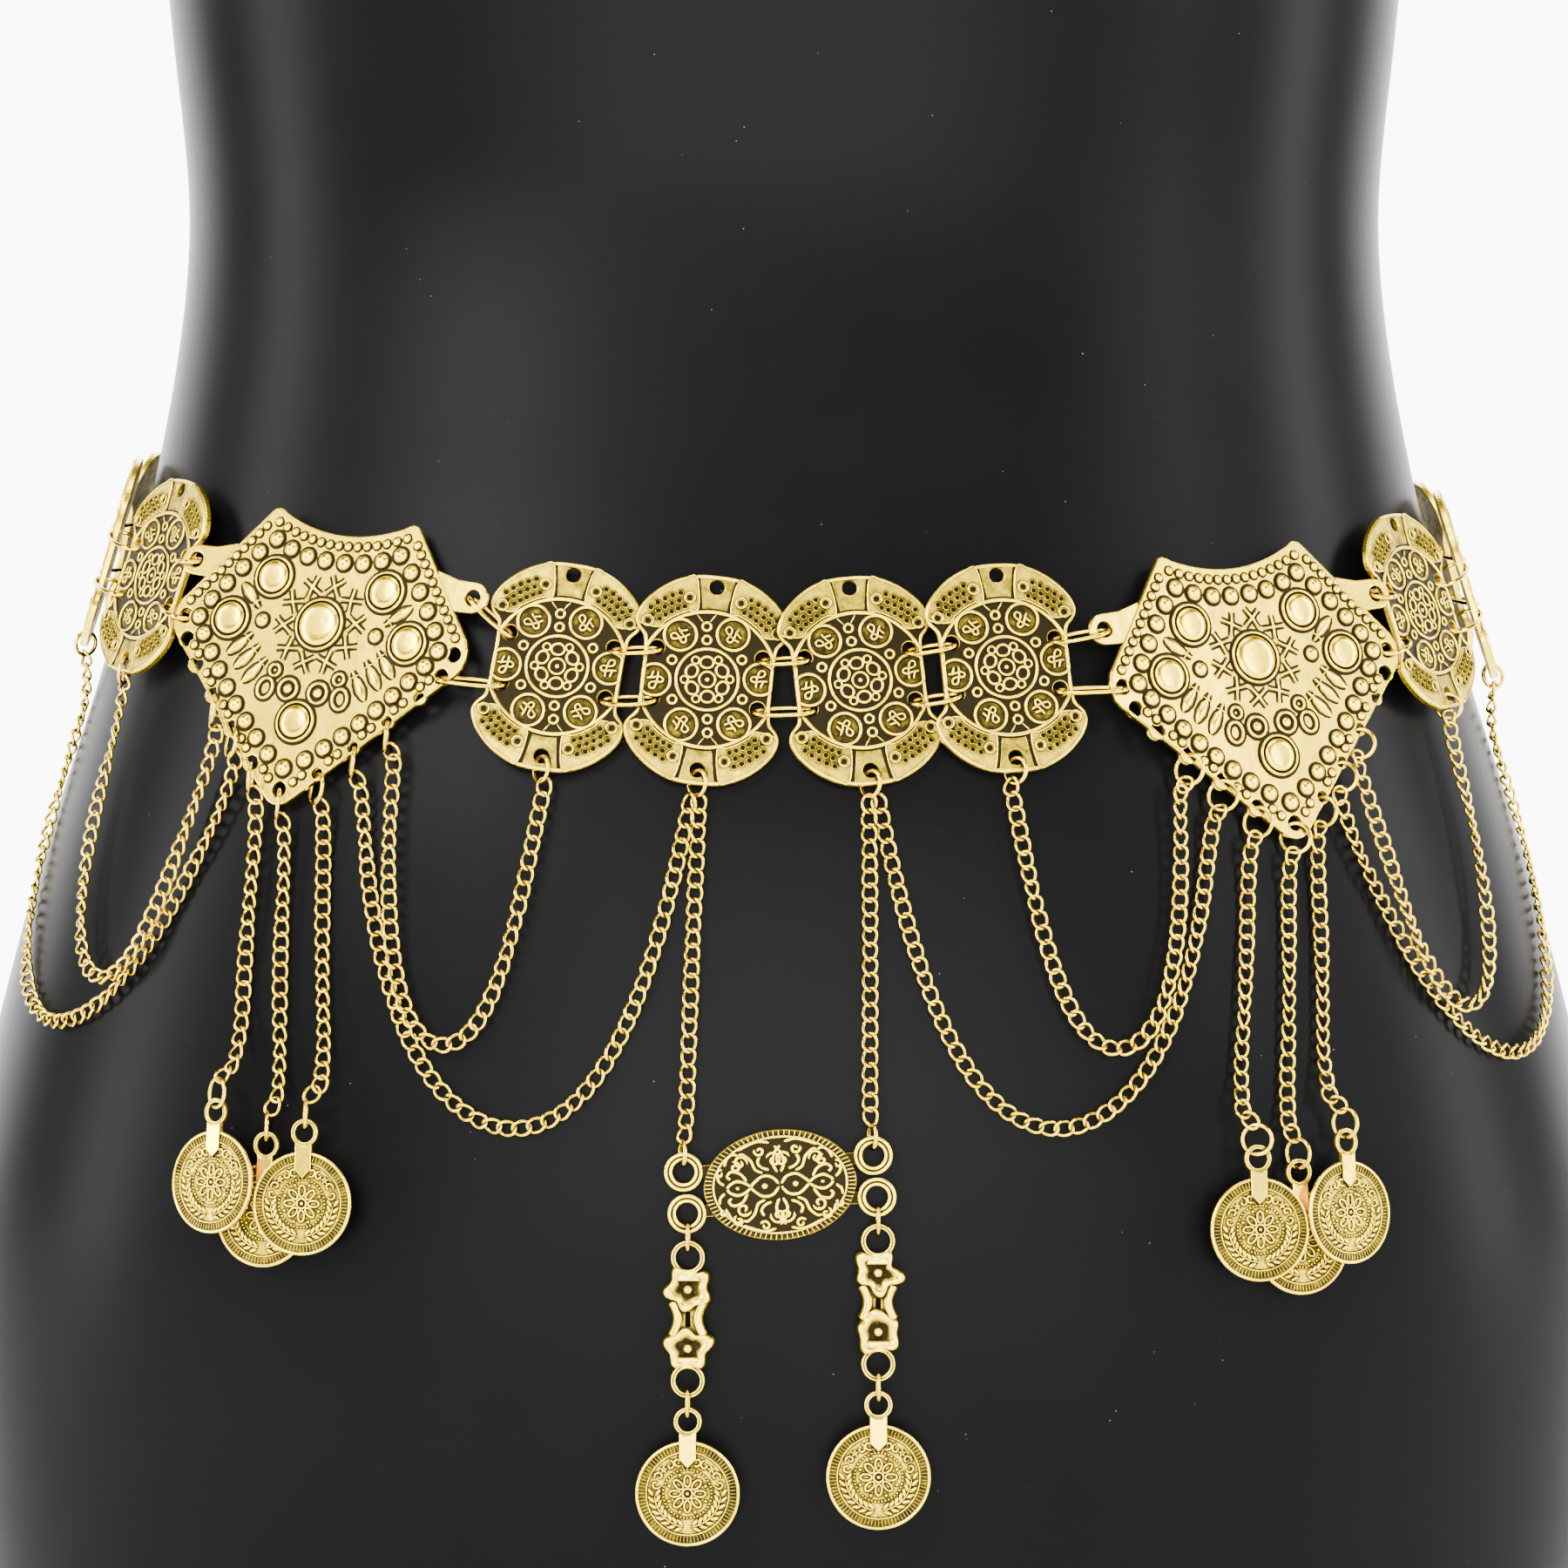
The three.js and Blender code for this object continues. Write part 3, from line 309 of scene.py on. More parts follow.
def add_wire(build, path, half, height, z, closed=False, arcs=4, low=0.45):
    """A half round raised line along a flat path."""
    path = np.asarray(path, dtype=float)
    if closed:
        travel = np.roll(path, -1, axis=0) - np.roll(path, 1, axis=0)
    else:
        travel = np.gradient(path, axis=0)
    travel /= np.linalg.norm(travel, axis=1)[:, None] + 1e-12
    normal = np.stack([travel[:, 1], -travel[:, 0]], axis=1)
    taper = np.ones(len(path))
    if not closed:
        taper[0] = taper[-1] = 0.35
    turn = np.linspace(0, math.pi, arcs + 1)
    side = half * np.cos(turn)
    rise = height * np.sin(turn)
    points = np.empty((len(path), arcs + 1, 3))
    points[:, :, 0] = path[:, None, 0] + normal[:, None, 0] * side * taper[:, None]
    points[:, :, 1] = path[:, None, 1] + normal[:, None, 1] * side * taper[:, None]
    points[:, :, 2] = z + rise * taper[:, None]
    relief = low + (1 - low) * np.sin(turn)
    relief = np.broadcast_to(relief, (len(path), arcs + 1)).reshape(-1)
    build.add(points, grid_faces(len(path), arcs + 1, close_rows=closed), relief)
    if build.moat:
        for hand in (1, -1):
            foot = path + normal * (half * 0.9 * hand)
            add_moat(build, foot, normal * hand, z, closed)


def add_moat(build, rim, normal, z, closed):
    """A thin skirt of patina and painted shade from the foot of raised work out to the open field."""
    width, field = build.moat
    edges = ((0.0, 0.05, 0.0), (0.5 * width, 0.035, 0.1), (width, 0.012, field))
    points = np.empty((len(rim), 3, 3))
    for k, (out, lift, _) in enumerate(edges):
        points[:, k, :2] = rim + normal * out
        points[:, k, 2] = z + lift
    shade = np.tile([e[2] for e in edges], len(rim))
    build.add(points, grid_faces(len(rim), 3, close_rows=closed), shade)


def circle(x, y, rx, ry=None, sides=24, turn=0.0, start=0.0, end=2 * math.pi):
    ry = rx if ry is None else ry
    whole = abs(end - start - 2 * math.pi) < 1e-6
    t = np.linspace(start, end, sides, endpoint=not whole)
    u, v = rx * np.cos(t), ry * np.sin(t)
    c, s = math.cos(turn), math.sin(turn)
    return np.stack([x + u * c - v * s, y + u * s + v * c], axis=1)


def add_ring(build, x, y, radius, half, height, z, sides=24, ry=None, turn=0.0, arcs=4):
    add_wire(build, circle(x, y, radius, ry, sides, turn), half, height, z, closed=True, arcs=arcs)


def add_dome(build, x, y, rx, height, z, sides=14, rows=4, ry=None, turn=0.0, low=0.5, fullness=1.0):
    """A dome. A fullness under one gives it a broad, flatter top."""
    ry = rx if ry is None else ry
    points, relief = [], []
    for r in range(rows):
        lift = math.pi / 2 * r / rows
        share = math.cos(lift) ** fullness
        for px, py in circle(x, y, rx * share, ry * share, sides, turn):
            points.append((px, py, z + height * math.sin(lift)))
            relief.append(low + (1 - low) * math.sin(lift))
    faces = flipped(grid_faces(rows, sides, close_cols=True))
    top = len(points)
    points.append((x, y, z + height))
    relief.append(1.0)
    last = (rows - 1) * sides
    faces += [(last + i, last + (i + 1) % sides, top) for i in range(sides)]
    build.add(points, faces, relief)
    if build.moat:
        rim = circle(x, y, rx * 0.97, ry * 0.97, sides, turn)
        add_moat(build, rim, circle(0, 0, rx, ry, sides, turn) / max(rx, ry), z, True)


def add_blade(build, start, end, half, height, z):
    """A raised dagger: broad near its first end, with a ridge and a small cross bar."""
    a, b = np.array(start, dtype=float), np.array(end, dtype=float)
    d = b - a
    n = np.array([-d[1], d[0]]) / np.linalg.norm(d)
    stations = [(0.0, 0.1), (0.12, 0.6), (0.35, 1.0), (0.65, 0.75), (0.78, 0.35), (0.9, 0.3), (1.0, 0.2)]
    points = []
    for t, w in stations:
        p = a + d * t
        lift = height * (0.4 + 0.6 * w)
        for k, share in ((-1, 0.0), (-0.5, 0.75), (0, 1.0), (0.5, 0.75), (1, 0.0)):
            q = p + n * half * w * k
            points.append((q[0], q[1], z + lift * share))
    relief = np.tile([0.4, 0.85, 1.0, 0.85, 0.4], len(stations))
    build.add(points, grid_faces(len(stations), 5), relief)
    if build.moat:
        feet = np.array([a + d * t for t, w in stations])
        spread = np.array([n * half * w for t, w in stations])
        for hand in (1, -1):
            add_moat(build, feet + spread * hand, np.tile(n * hand, (len(stations), 1)), z, False)
    bar = a + d * 0.8
    add_wire(build, [bar - n * half * 0.85, bar, bar + n * half * 0.85], 0.26, height * 0.8, z)


def smooth_span(before, start, end, after, per):
    """Points of a rounded line from its start up to its end, which isn't among them."""
    leave, arrive = (end - before) * 0.5, (after - start) * 0.5
    out = []
    for k in range(per):
        h = hermite(k / per)
        out.append(h[0] * start + h[1] * leave + h[2] * end + h[3] * arrive)
    return out


def smooth_closed(points, per):
    pts = [np.array(p, dtype=float) for p in points]
    n = len(pts)
    out = []
    for i in range(n):
        out += smooth_span(pts[i - 1], pts[i], pts[(i + 1) % n], pts[(i + 2) % n], per)
    return np.array(out)


def smooth_open(points, per):
    pts = [np.array(p, dtype=float) for p in points]
    last = len(pts) - 1
    out = []
    for i in range(last):
        out += smooth_span(pts[max(0, i - 1)], pts[i], pts[i + 1], pts[min(last, i + 2)], per)
    return np.array([*out, pts[-1]])


def facing(outline, sign):
    """A mirrored outline runs the wrong way round and is turned back."""
    return outline if sign > 0 else outline[::-1]


def add_slab(build, outline, holes, thickness, bevel=0.16, z=0.0, field=0.2):
    """A flat casting with rounded rims, filled between its outline and its holes."""
    curve = bpy.data.curves.new("flat", "CURVE")
    curve.dimensions = "2D"
    curve.fill_mode = "BOTH"
    curve.extrude = thickness / 2 - bevel
    curve.bevel_depth = bevel
    curve.bevel_resolution = 1
    curve.offset = -bevel
    for path in [outline, *holes]:
        spline = curve.splines.new("POLY")
        spline.points.add(len(path) - 1)
        for p, (x, y) in zip(spline.points, path):
            p.co = (x, y, 0, 1)
        spline.use_cyclic_u = True
    obj = bpy.data.objects.new("flat", curve)
    bpy.context.scene.collection.objects.link(obj)
    mesh = obj.evaluated_get(bpy.context.evaluated_depsgraph_get()).to_mesh()
    points = np.array([v.co[:] for v in mesh.vertices])
    faces = [tuple(p.vertices) for p in mesh.polygons]
    face_height = thickness / 2 - 1e-4
    top = points[:, 2] > face_height
    side = np.abs(points[:, 2]) < face_height
    relief = np.where(side, 0.9, np.where(top, field, 0.5))
    points[:, 2] += z + thickness / 2
    build.add(points, faces, relief, smooth=False)
    bpy.data.objects.remove(obj)
    bpy.data.curves.remove(curve)


def add_torus(build, centre, first, second, semi_first, semi_second, wire, sides=28, around=10, relief=0.9):
    """A closed wire ring in the plane of two directions."""
    first = first.normalized()
    axis = first.cross(second).normalized()
    across = axis.cross(first).normalized()
    points = []
    for i in range(sides):
        t = 2 * math.pi * i / sides
        rim = first * (semi_first * math.cos(t)) + across * (semi_second * math.sin(t))
        slope = first * (semi_second * math.cos(t)) + across * (semi_first * math.sin(t))
        outward = slope.normalized()
        for k in range(around):
            f = 2 * math.pi * k / around
            p = centre + rim + outward * (wire * math.cos(f)) + axis * (wire * math.sin(f))
            points.append(p[:])
    build.add(points, grid_faces(sides, around, True, True), relief)


# a turned section that is open at its ends starts and ends this far from its axis
ON_AXIS = 0.001


def add_turned(build, x, y, profile, sides, scale=(1, 1), z=0.0, closed=False):
    """A section turned round a point. Its corners are radius, height and relief."""
    points, relief = [], []
    for i in range(sides):
        t = 2 * math.pi * i / sides
        for r, h, shade in profile:
            points.append((x + scale[0] * r * math.cos(t), y + scale[1] * r * math.sin(t), z + h))
            relief.append(shade)
    build.add(points, grid_faces(sides, len(profile), True, closed), relief)


def add_eyelet(build, x, y, radius, hole, thickness, z=0.0, sides=26):
    """A flat ring with a raised inner rim and a groove round it."""
    width = radius - hole
    profile = [
        (hole, 0.0, 0.5),
        (radius, 0.0, 0.5),
        (radius, thickness * 0.8, 0.7),
        (radius - 0.14 * width, thickness, 1.0),
        (radius - 0.36 * width, thickness, 0.8),
        (radius - 0.48 * width, thickness * 0.86, 0.25),
        (hole + 0.42 * width, thickness * 0.86, 0.3),
        (hole + 0.24 * width, thickness, 1.0),
        (hole, thickness * 0.85, 0.7),
    ]
    add_turned(build, x, y, profile, sides, z=z, closed=True)


# Materials


def new_material(name):
    material = bpy.data.materials.new(name)
    material.use_nodes = True
    tree = material.node_tree
    tree.nodes.clear()
    out = tree.nodes.new("ShaderNodeOutputMaterial")
    shader = tree.nodes.new("ShaderNodeBsdfPrincipled")
    tree.links.new(shader.outputs[0], out.inputs[0])
    return material, tree, shader


def math_node(tree, operation, *values, clamp=False):
    node = tree.nodes.new("ShaderNodeMath")
    node.operation = operation
    node.use_clamp = clamp
    for socket, value in zip(node.inputs, values):
        if isinstance(value, (int, float)):
            socket.default_value = value
        else:
            tree.links.new(value, socket)
    return node.outputs[0]


def noise_node(tree, coordinates, scale, detail=2.0, roughness=0.5):
    node = tree.nodes.new("ShaderNodeTexNoise")
    node.inputs["Scale"].default_value = scale
    node.inputs["Detail"].default_value = detail
    node.inputs["Roughness"].default_value = roughness
    tree.links.new(coordinates, node.inputs["Vector"])
    return node.outputs["Fac"]


def ramp_node(tree, value, low, high):
    node = tree.nodes.new("ShaderNodeMapRange")
    node.interpolation_type = "SMOOTHSTEP"
    node.inputs["From Min"].default_value = low
    node.inputs["From Max"].default_value = high
    tree.links.new(value, node.inputs["Value"])
    return node.outputs[0]


def mix_colour(tree, factor, a, b):
    node = tree.nodes.new("ShaderNodeMix")
    node.data_type = "RGBA"
    tree.links.new(factor, node.inputs[0])
    for socket, value in ((node.inputs[6], a), (node.inputs[7], b)):
        if isinstance(value, tuple):
            socket.default_value = (*value, 1)
        else:
            tree.links.new(value, socket)
    return node.outputs[2]


def mix_value(tree, factor, a, b):
    node = tree.nodes.new("ShaderNodeMix")
    node.data_type = "FLOAT"
    tree.links.new(factor, node.inputs[0])
    node.inputs[2].default_value = a
    node.inputs[3].default_value = b
    return node.outputs[0]


def bump(tree, shader, strength, distance, height):
    node = tree.nodes.new("ShaderNodeBump")
    node.inputs["Strength"].default_value = strength
    node.inputs["Distance"].default_value = distance
    tree.links.new(height, node.inputs["Height"])
    tree.links.new(node.outputs[0], shader.inputs["Normal"])


def metal(name, gold, deep, field_dark, crevice_dark, rough, grain=0.12, reach=0.0009):
    """Gold plating with dark patina where the casting is low, and patina with painted shade in its
    crevices.
    """
    material, tree, shader = new_material(name)
    coordinates = tree.nodes.new("ShaderNodeTexCoord").outputs["Object"]
    cloud = noise_node(tree, coordinates, 520, 4.0, 0.7)
    fine = noise_node(tree, coordinates, 2600, 3.0, 0.6)
    broad = noise_node(tree, coordinates, 130, 2.0, 0.5)

    # where it darkens: patina on low ground and in cloudy patches, patina and painted shade in crevices
    relief = tree.nodes.new("ShaderNodeAttribute")
    relief.attribute_name = "relief"
    # painted shade: ambient occlusion darkens crevices and the narrow gaps between parts, on top of the
    # patina there
    occlusion = tree.nodes.new("ShaderNodeAmbientOcclusion")
    occlusion.inputs["Distance"].default_value = reach
    occlusion.samples = 8
    closed = math_node(tree, "SUBTRACT", 0.97, occlusion.outputs["AO"], clamp=True)
    low = math_node(tree, "SUBTRACT", 1.0, relief.outputs["Fac"])
    crevices = math_node(tree, "MULTIPLY", closed, crevice_dark)
    ground = math_node(tree, "MULTIPLY", low, field_dark)
    patches = math_node(tree, "MULTIPLY", math_node(tree, "SUBTRACT", cloud, 0.5), 0.7)
    total = math_node(tree, "ADD", math_node(tree, "ADD", crevices, ground), patches)
    patina_and_shade = ramp_node(tree, total, 0.16, 0.85)

    worn_gold = tuple(c * 0.84 for c in gold)
    tone = mix_colour(tree, ramp_node(tree, broad, 0.3, 0.7), gold, worn_gold)
    tree.links.new(mix_colour(tree, patina_and_shade, tone, deep), shader.inputs["Base Color"])
    tree.links.new(mix_value(tree, patina_and_shade, 1.0, 0.93), shader.inputs["Metallic"])
    gloss = math_node(tree, "MULTIPLY_ADD", fine, 0.14, rough - 0.07)
    tree.links.new(math_node(tree, "MULTIPLY_ADD", patina_and_shade, 0.3, gloss), shader.inputs["Roughness"])
    waves = math_node(tree, "MULTIPLY_ADD", cloud, 1.2, math_node(tree, "MULTIPLY", fine, 0.35))
    bump(tree, shader, grain, 0.00035, math_node(tree, "MULTIPLY_ADD", broad, 2.2, waves))
    return material


def black_form(name):
    """Black moulded plastic with a satin gloss and fine pale specks of dust."""
    material, tree, shader = new_material(name)
    coordinates = tree.nodes.new("ShaderNodeTexCoord").outputs["Object"]
    smear = noise_node(tree, coordinates, 22, 3.0, 0.6)
    fine = noise_node(tree, coordinates, 900, 3.0, 0.6)
    specks = tree.nodes.new("ShaderNodeTexVoronoi")
    specks.inputs["Scale"].default_value = 420
    tree.links.new(coordinates, specks.inputs["Vector"])
    near = ramp_node(tree, specks.outputs["Distance"], 0.06, 0.03)
    rare = ramp_node(tree, noise_node(tree, coordinates, 160, 1.0), 0.6, 0.72)
    dust = math_node(tree, "MULTIPLY", math_node(tree, "MULTIPLY", near, rare), 0.4)
    tone = mix_colour(tree, smear, (0.0011, 0.0011, 0.0012), (0.0019, 0.0019, 0.0020))
    tree.links.new(mix_colour(tree, dust, tone, (0.30, 0.30, 0.31)), shader.inputs["Base Color"])
    gloss = math_node(tree, "MULTIPLY_ADD", fine, 0.1, 0.27)
    tree.links.new(math_node(tree, "MULTIPLY_ADD", smear, 0.08, gloss), shader.inputs["Roughness"])
    shader.inputs["IOR"].default_value = 1.5
    shader.inputs["Specular IOR Level"].default_value = 0.03
    bump(tree, shader, 0.05, 0.0002, fine)
    return material


# plating, colour of the patina and painted shade, how dark low ground and crevices are, roughness
GOLD = (1.0, 0.70, 0.006)
PATINA_AND_SHADE = (0.008, 0.0058, 0.0009)
ANTIQUE = metal("antique_gold_cast", GOLD, PATINA_AND_SHADE, 1.12, 2.2, 0.27)
BRIGHT = metal("bright_gold_cast", GOLD, PATINA_AND_SHADE, 0.95, 2.0, 0.25)
STRUCK = metal("struck_gold", GOLD, PATINA_AND_SHADE, 0.80, 2.2, 0.27, reach=0.0006)
# the wire's dark colour is patina and painted shade in the crevices between links
WIRE_GOLD = metal("gold_wire", (0.74, 0.51, 0.003), (0.04, 0.028, 0.003), 0.0, 1.5, 0.15, grain=0.03)
FORM_BLACK = black_form("black_form")

# Round plates


PATTERN_TURN = 6.3
WAIST_X = 12.2
PIT_STEP = 5.2
# raised sheets start a little below the face that they lie on
SUNK = 0.05
KNOT_SIZE = 0.92
KNOT = [
    (-1.9, -0.9), (-0.9, 0.1), (0.2, 0.9), (1.3, 1.3), (1.8, 0.6), (1.1, 0.0),
    (0.1, 0.5), (-0.8, 1.4), (-1.5, 1.1), (-1.2, 0.2), (-0.2, -0.4), (1.0, -1.4),
]
KNOT_BAR = [(-1.2, -1.5), (-0.3, -1.0), (0.6, -0.6)]


def plate_outline():
    quarter = [
        (0, 20.6), (5.2, 20.1), (9.8, 17.9), (13.3, 14.6),
        (14.8, 11.6), (14.5, 9.7), (13, 7.7), (12.65, 5),
    ]
    right = quarter + [(12.6, 0)] + [(x, -y) for x, y in reversed(quarter)]
    left = [(-x, y) for x, y in reversed(right[1:-1])]
    return smooth_closed(right + left, per=5)


def outline_radius(outline):
    """Distance from the middle to the outline at an angle in degrees from the y axis."""
    angle = np.arctan2(outline[:, 0], outline[:, 1])
    order = np.argsort(angle)
    reach = np.hypot(outline[:, 0], outline[:, 1])[order]
    angle = angle[order]
    return lambda a: float(np.interp(math.radians(a), angle, reach, period=2 * math.pi))


def polar(radius, degrees):
    a = math.radians(degrees)
    return radius * math.cos(a), radius * math.sin(a)


def draw_plate_flower(b, z):
    add_ring(b, 0, 0, 6.0, 0.36, 0.46, z, sides=44)
    add_ring(b, 0, 0, 1.55, 0.28, 0.42, z, sides=20)
    add_dome(b, 0, 0, 0.5, 0.42, z, sides=10, rows=3)
    for k in range(6):
        angle = 90 + PATTERN_TURN + 60 * k
        x, y = polar(3.35, angle)
        add_ring(b, x, y, 1.12, 0.3, 0.42, z, sides=18, ry=1.32, turn=math.radians(angle))
        x, y = polar(4.35, angle - 30)
        add_ring(b, x, y, 0.72, 0.26, 0.4, z, sides=14)


def draw_plate_medallion(b, x, y, angle, z):
    """A disc with a looped knot. The waist of the plate cuts off the side ones."""
    sides = 30
    for radius, lift in ((2.95, 0.03), (2.1, 0.08)):
        face = circle(x, y, radius, sides=sides)
        face[:, 0] = np.clip(face[:, 0], -WAIST_X, WAIST_X)
        points = [(px, py, z + lift) for px, py in face] + [(x, y, z + lift)]
        b.add(points, [(i, (i + 1) % sides, sides) for i in range(sides)], 0.34)
    ring = circle(x, y, 3.1, sides=34)
    ring[:, 0] = np.clip(ring[:, 0], -WAIST_X - 0.1, WAIST_X + 0.1)
    add_wire(b, ring, 0.34, 0.46, z, closed=True)
    tilt = math.radians(angle + 40)
    c, s = math.cos(tilt), math.sin(tilt)
    for strokes in (KNOT, KNOT_BAR):
        path = [(x + (u * c - v * s) * KNOT_SIZE, y + (u * s + v * c) * KNOT_SIZE) for u, v in strokes]
        add_wire(b, smooth_open(path, 4), 0.27, 0.45, z, arcs=3)


def draw_plate_circles(b, z):
    """Pairs of small circles between the medallions, each outer one with two lines to the ring."""
    for k in range(6):
        angle = 30 + PATTERN_TURN + 60 * k
        x, y = polar(7.75, angle)
        add_ring(b, x, y, 0.82, 0.31, 0.42, z, sides=16)
        x, y = polar(10.4, angle)
        if abs(x) < 6:
            add_ring(b, x, y, 0.82, 0.31, 0.42, z, sides=16)
            for sign in (-1, 1):
                p, q = polar(11.2, angle + sign * 3), polar(13.2, angle + sign * 9)
                add_wire(b, [p, ((p[0] + q[0]) / 2, (p[1] + q[1]) / 2), q], 0.2, 0.36, z, arcs=3)


def draw_plate_band(sign, reach, z):
    """A raised corner band with pits in rows and a ringed pit at each end."""
    band, first, last = Build(), (13.0 if sign < 0 else 12.0), 55
    inner = [polar(13.95, 90 - a) for a in np.linspace(first + 1, last - 3, 12)]
    outer = [polar(reach(a) - 0.5, 90 - a) for a in np.linspace(last, first - 4, 14)]
    shape = smooth_closed(inner[::2] + outer[::2], per=4) * (1, sign)
    pits = []
    for r, a, size in ((16.4, 17.6, 1.0), (16.2, 50.5, 1.05)):
        x, y = polar(r, 90 - a)
        pits.append(circle(x, sign * y, size * 0.62, sides=14))
        add_ring(band, x, sign * y, size, 0.24, 0.66, z, sides=20)
    for r, first_pit, last_pit in ((14.95, 22.6, 47.5), (16.35, 25.2, 46.5), (17.75, 22.6, 47.5)):
        for a in first_pit + PIT_STEP * np.arange(6):
            if r > reach(a) - 1.2 or a > last_pit:
                continue
            x, y = polar(r, 90 - a)
            pits.append(circle(x, sign * y, 0.45, sides=9))
            add_wire(band, circle(x, sign * y, 0.6, sides=9), 0.16, 0.56, z, closed=True, arcs=2, low=0.95)
    turned = facing(shape, sign)
    add_slab(band, turned, [pit[::-1] for pit in pits], 0.4, bevel=0.1, z=z - SUNK, field=0.56)
    add_wire(band, turned, 0.2, 0.5, z, closed=True, arcs=3, low=0.7)
    return band


def draw_plate():
    b = Build()
    outline = plate_outline()
    reach = outline_radius(outline)
    holes = [(sx * PLATE_SIDE_X, y) for sx in (-1, 1) for y in (PLATE_UPPER_Y, PLATE_LOWER_Y)]
    holes += [(0, PLATE_TOP_Y), (0, PLATE_BOTTOM_Y)]
    cuts = [circle(x, y, HOLE_RADIUS, sides=18)[::-1] for x, y in holes]
    add_slab(b, outline, cuts, PLATE_THICKNESS, field=0.12)
    z = PLATE_THICKNESS - 0.02
    rim = outline * (1 - 0.42 / np.hypot(outline[:, 0], outline[:, 1]))[:, None]
    add_wire(b, rim, 0.36, 0.26, z, closed=True, arcs=3)
    draw_plate_flower(b, z)
    for k in range(6):
        angle = PATTERN_TURN + 60 * k
        draw_plate_medallion(b, *polar(10.15, angle), angle, z)
    draw_plate_circles(b, z)

    for sign, hole_y in ((-1, PLATE_BOTTOM_Y), (1, PLATE_TOP_Y)):
        # the disc's outer ring, cut off by the waist
        arc = circle(0, 0, 13.3, sides=44, start=math.radians(22), end=math.radians(158)) * (1, sign)
        add_wire(b, arc, 0.42, 0.5, z)
        band = draw_plate_band(sign, reach, z)
        b.take(band)
        b.take(band.mirrored())
        # the flat of the rim round the hole
        inner = [polar(14.0, 90 - a) for a in np.linspace(-9.6, 9.6, 8)]
        outer = [polar(reach(a) - 0.7, 90 - a) for a in np.linspace(9.6, -9.6, 8)]
        hole = circle(0, hole_y, HOLE_RADIUS + 0.2, sides=18)
        patch = facing(np.array(inner + outer) * (1, sign), sign)
        add_slab(b, patch, [hole[::-1]], 0.22, bevel=0.08, z=z - SUNK, field=0.46)
    return b


# Shields


# places of the large beads on the right half: along the top, down the side and to the tip
SHIELD_BEADS = [
    (2.15, 12.8), (6.3, 13.2), (10.35, 14.2), (14.1, 15.8),
    (17.3, 12.7), (20.2, 9.2), (22.9, 5.6), (25.4, 1.9), (27.2, -1.9),
    (25.2, -5.2), (22.5, -8.7), (19.8, -12.0), (17.0, -15.2),
    (14.1, -18.3), (11.0, -21.3), (7.7, -24.2), (4.2, -27.0),
]
# first and last point of each raised dagger
SHIELD_DAGGERS = [
    ((19.4, 6.1), (14.2, 1.6)),
    ((19.0, -8.6), (14.3, -3.6)),
    ((16.6, -11.2), (12.1, -5.8)),
    ((14.0, -13.8), (9.8, -8.2)),
]


def shield_outline():
    arch = [(x, 18.4 + 4.0 * (x / 15.5) ** 2) for x in np.linspace(-13.4, 13.4, 15)]
    right = [
        (14.3, 22.0), (15.2, 22.35), (16.3, 22.1), (17.0, 21.3),
        (32.4, 1.2), (33.15, -0.8), (33.2, -2.6), (32.8, -4.6),
        (31.8, -6.1), (3.6, -34.6), (2.0, -36.0), (0.7, -36.55),
    ]
    left = [(-x, y) for x, y in reversed(right)]
    return np.array(arch + right + left)


def between(a, b, count):
    return [(a[0] + (b[0] - a[0]) * t, a[1] + (b[1] - a[1]) * t) for t in np.linspace(0, 1, count)]


def draw_shield_beads(b, z):
    """Large beads all round inside the edge, and small ones along it and between the holes."""
    for x, y in SHIELD_BEADS:
        for s in (-1, 1):
            add_dome(b, s * x, y, 1.55, 1.25, z, sides=18, rows=5, low=0.3)
    add_dome(b, 0, -29.3, 1.6, 1.25, z, sides=18, rows=5, low=0.3)
    small = [(x, 16.1 + 3.2 * (x / 14.5) ** 2) for x in np.linspace(-14.6, 14.6, 15)]
    for s in (-1, 1):
        small += [(s * x, y) for x, y in between((17.2, 18.2), (30.2, 1.2), 11)]
        for (ax, ay), (bx, by) in zip(SHIELD_HOLES[1:], [*SHIELD_HOLES[2:], SHIELD_TIP_HOLE]):
            mx, my = (ax + bx) / 2 * 0.955, (ay + by) / 2 + 0.5
            small += [(s * (mx + 0.78), my + 0.78), (s * (mx - 0.78), my - 0.78)]
    b.moat = (0.5, SHIELD_FIELD)
    for x, y in small:
        add_dome(b, x, y, 0.88, 0.75, z, sides=12, rows=4, low=0.3)


def draw_shield_crosses(b, z):
    """Small crosses round the centre boss, each bar a little out of true."""
    half = 2.5
    for k in range(10):
        angle = 8 + 36 * k
        x, y = polar(8.0, angle)
        for lean in (38, -42):
            t = math.radians(angle + lean + rng.uniform(-6, 6))
            ends = [(x + half * math.cos(t) * q, y + half * math.sin(t) * q) for q in (-1, 0, 1)]
            add_wire(b, ends, 0.36, 0.55, z)


def draw_shield_eye(b, s):
    """The ring eye at one side, on a tab that runs under the shield."""
    ex, ey = SHIELD_EYE
    arc = circle(ex, ey, 3.1, sides=12, start=1.57, end=-1.57)
    upper, lower = [(23, ey + 4.4), (27.5, ey + 3.2)], [(27.5, ey - 3.2), (25.5, ey - 4.6), (22, ey - 2)]
    tab = np.array([*upper, *arc.tolist(), *lower]) * (s, 1)
    hole = circle(s * ex, ey, HOLE_RADIUS + 0.1, sides=18)
    add_slab(b, facing(tab, s), [hole[::-1]], SHIELD_THICKNESS - 0.15, bevel=0.25, field=0.9)


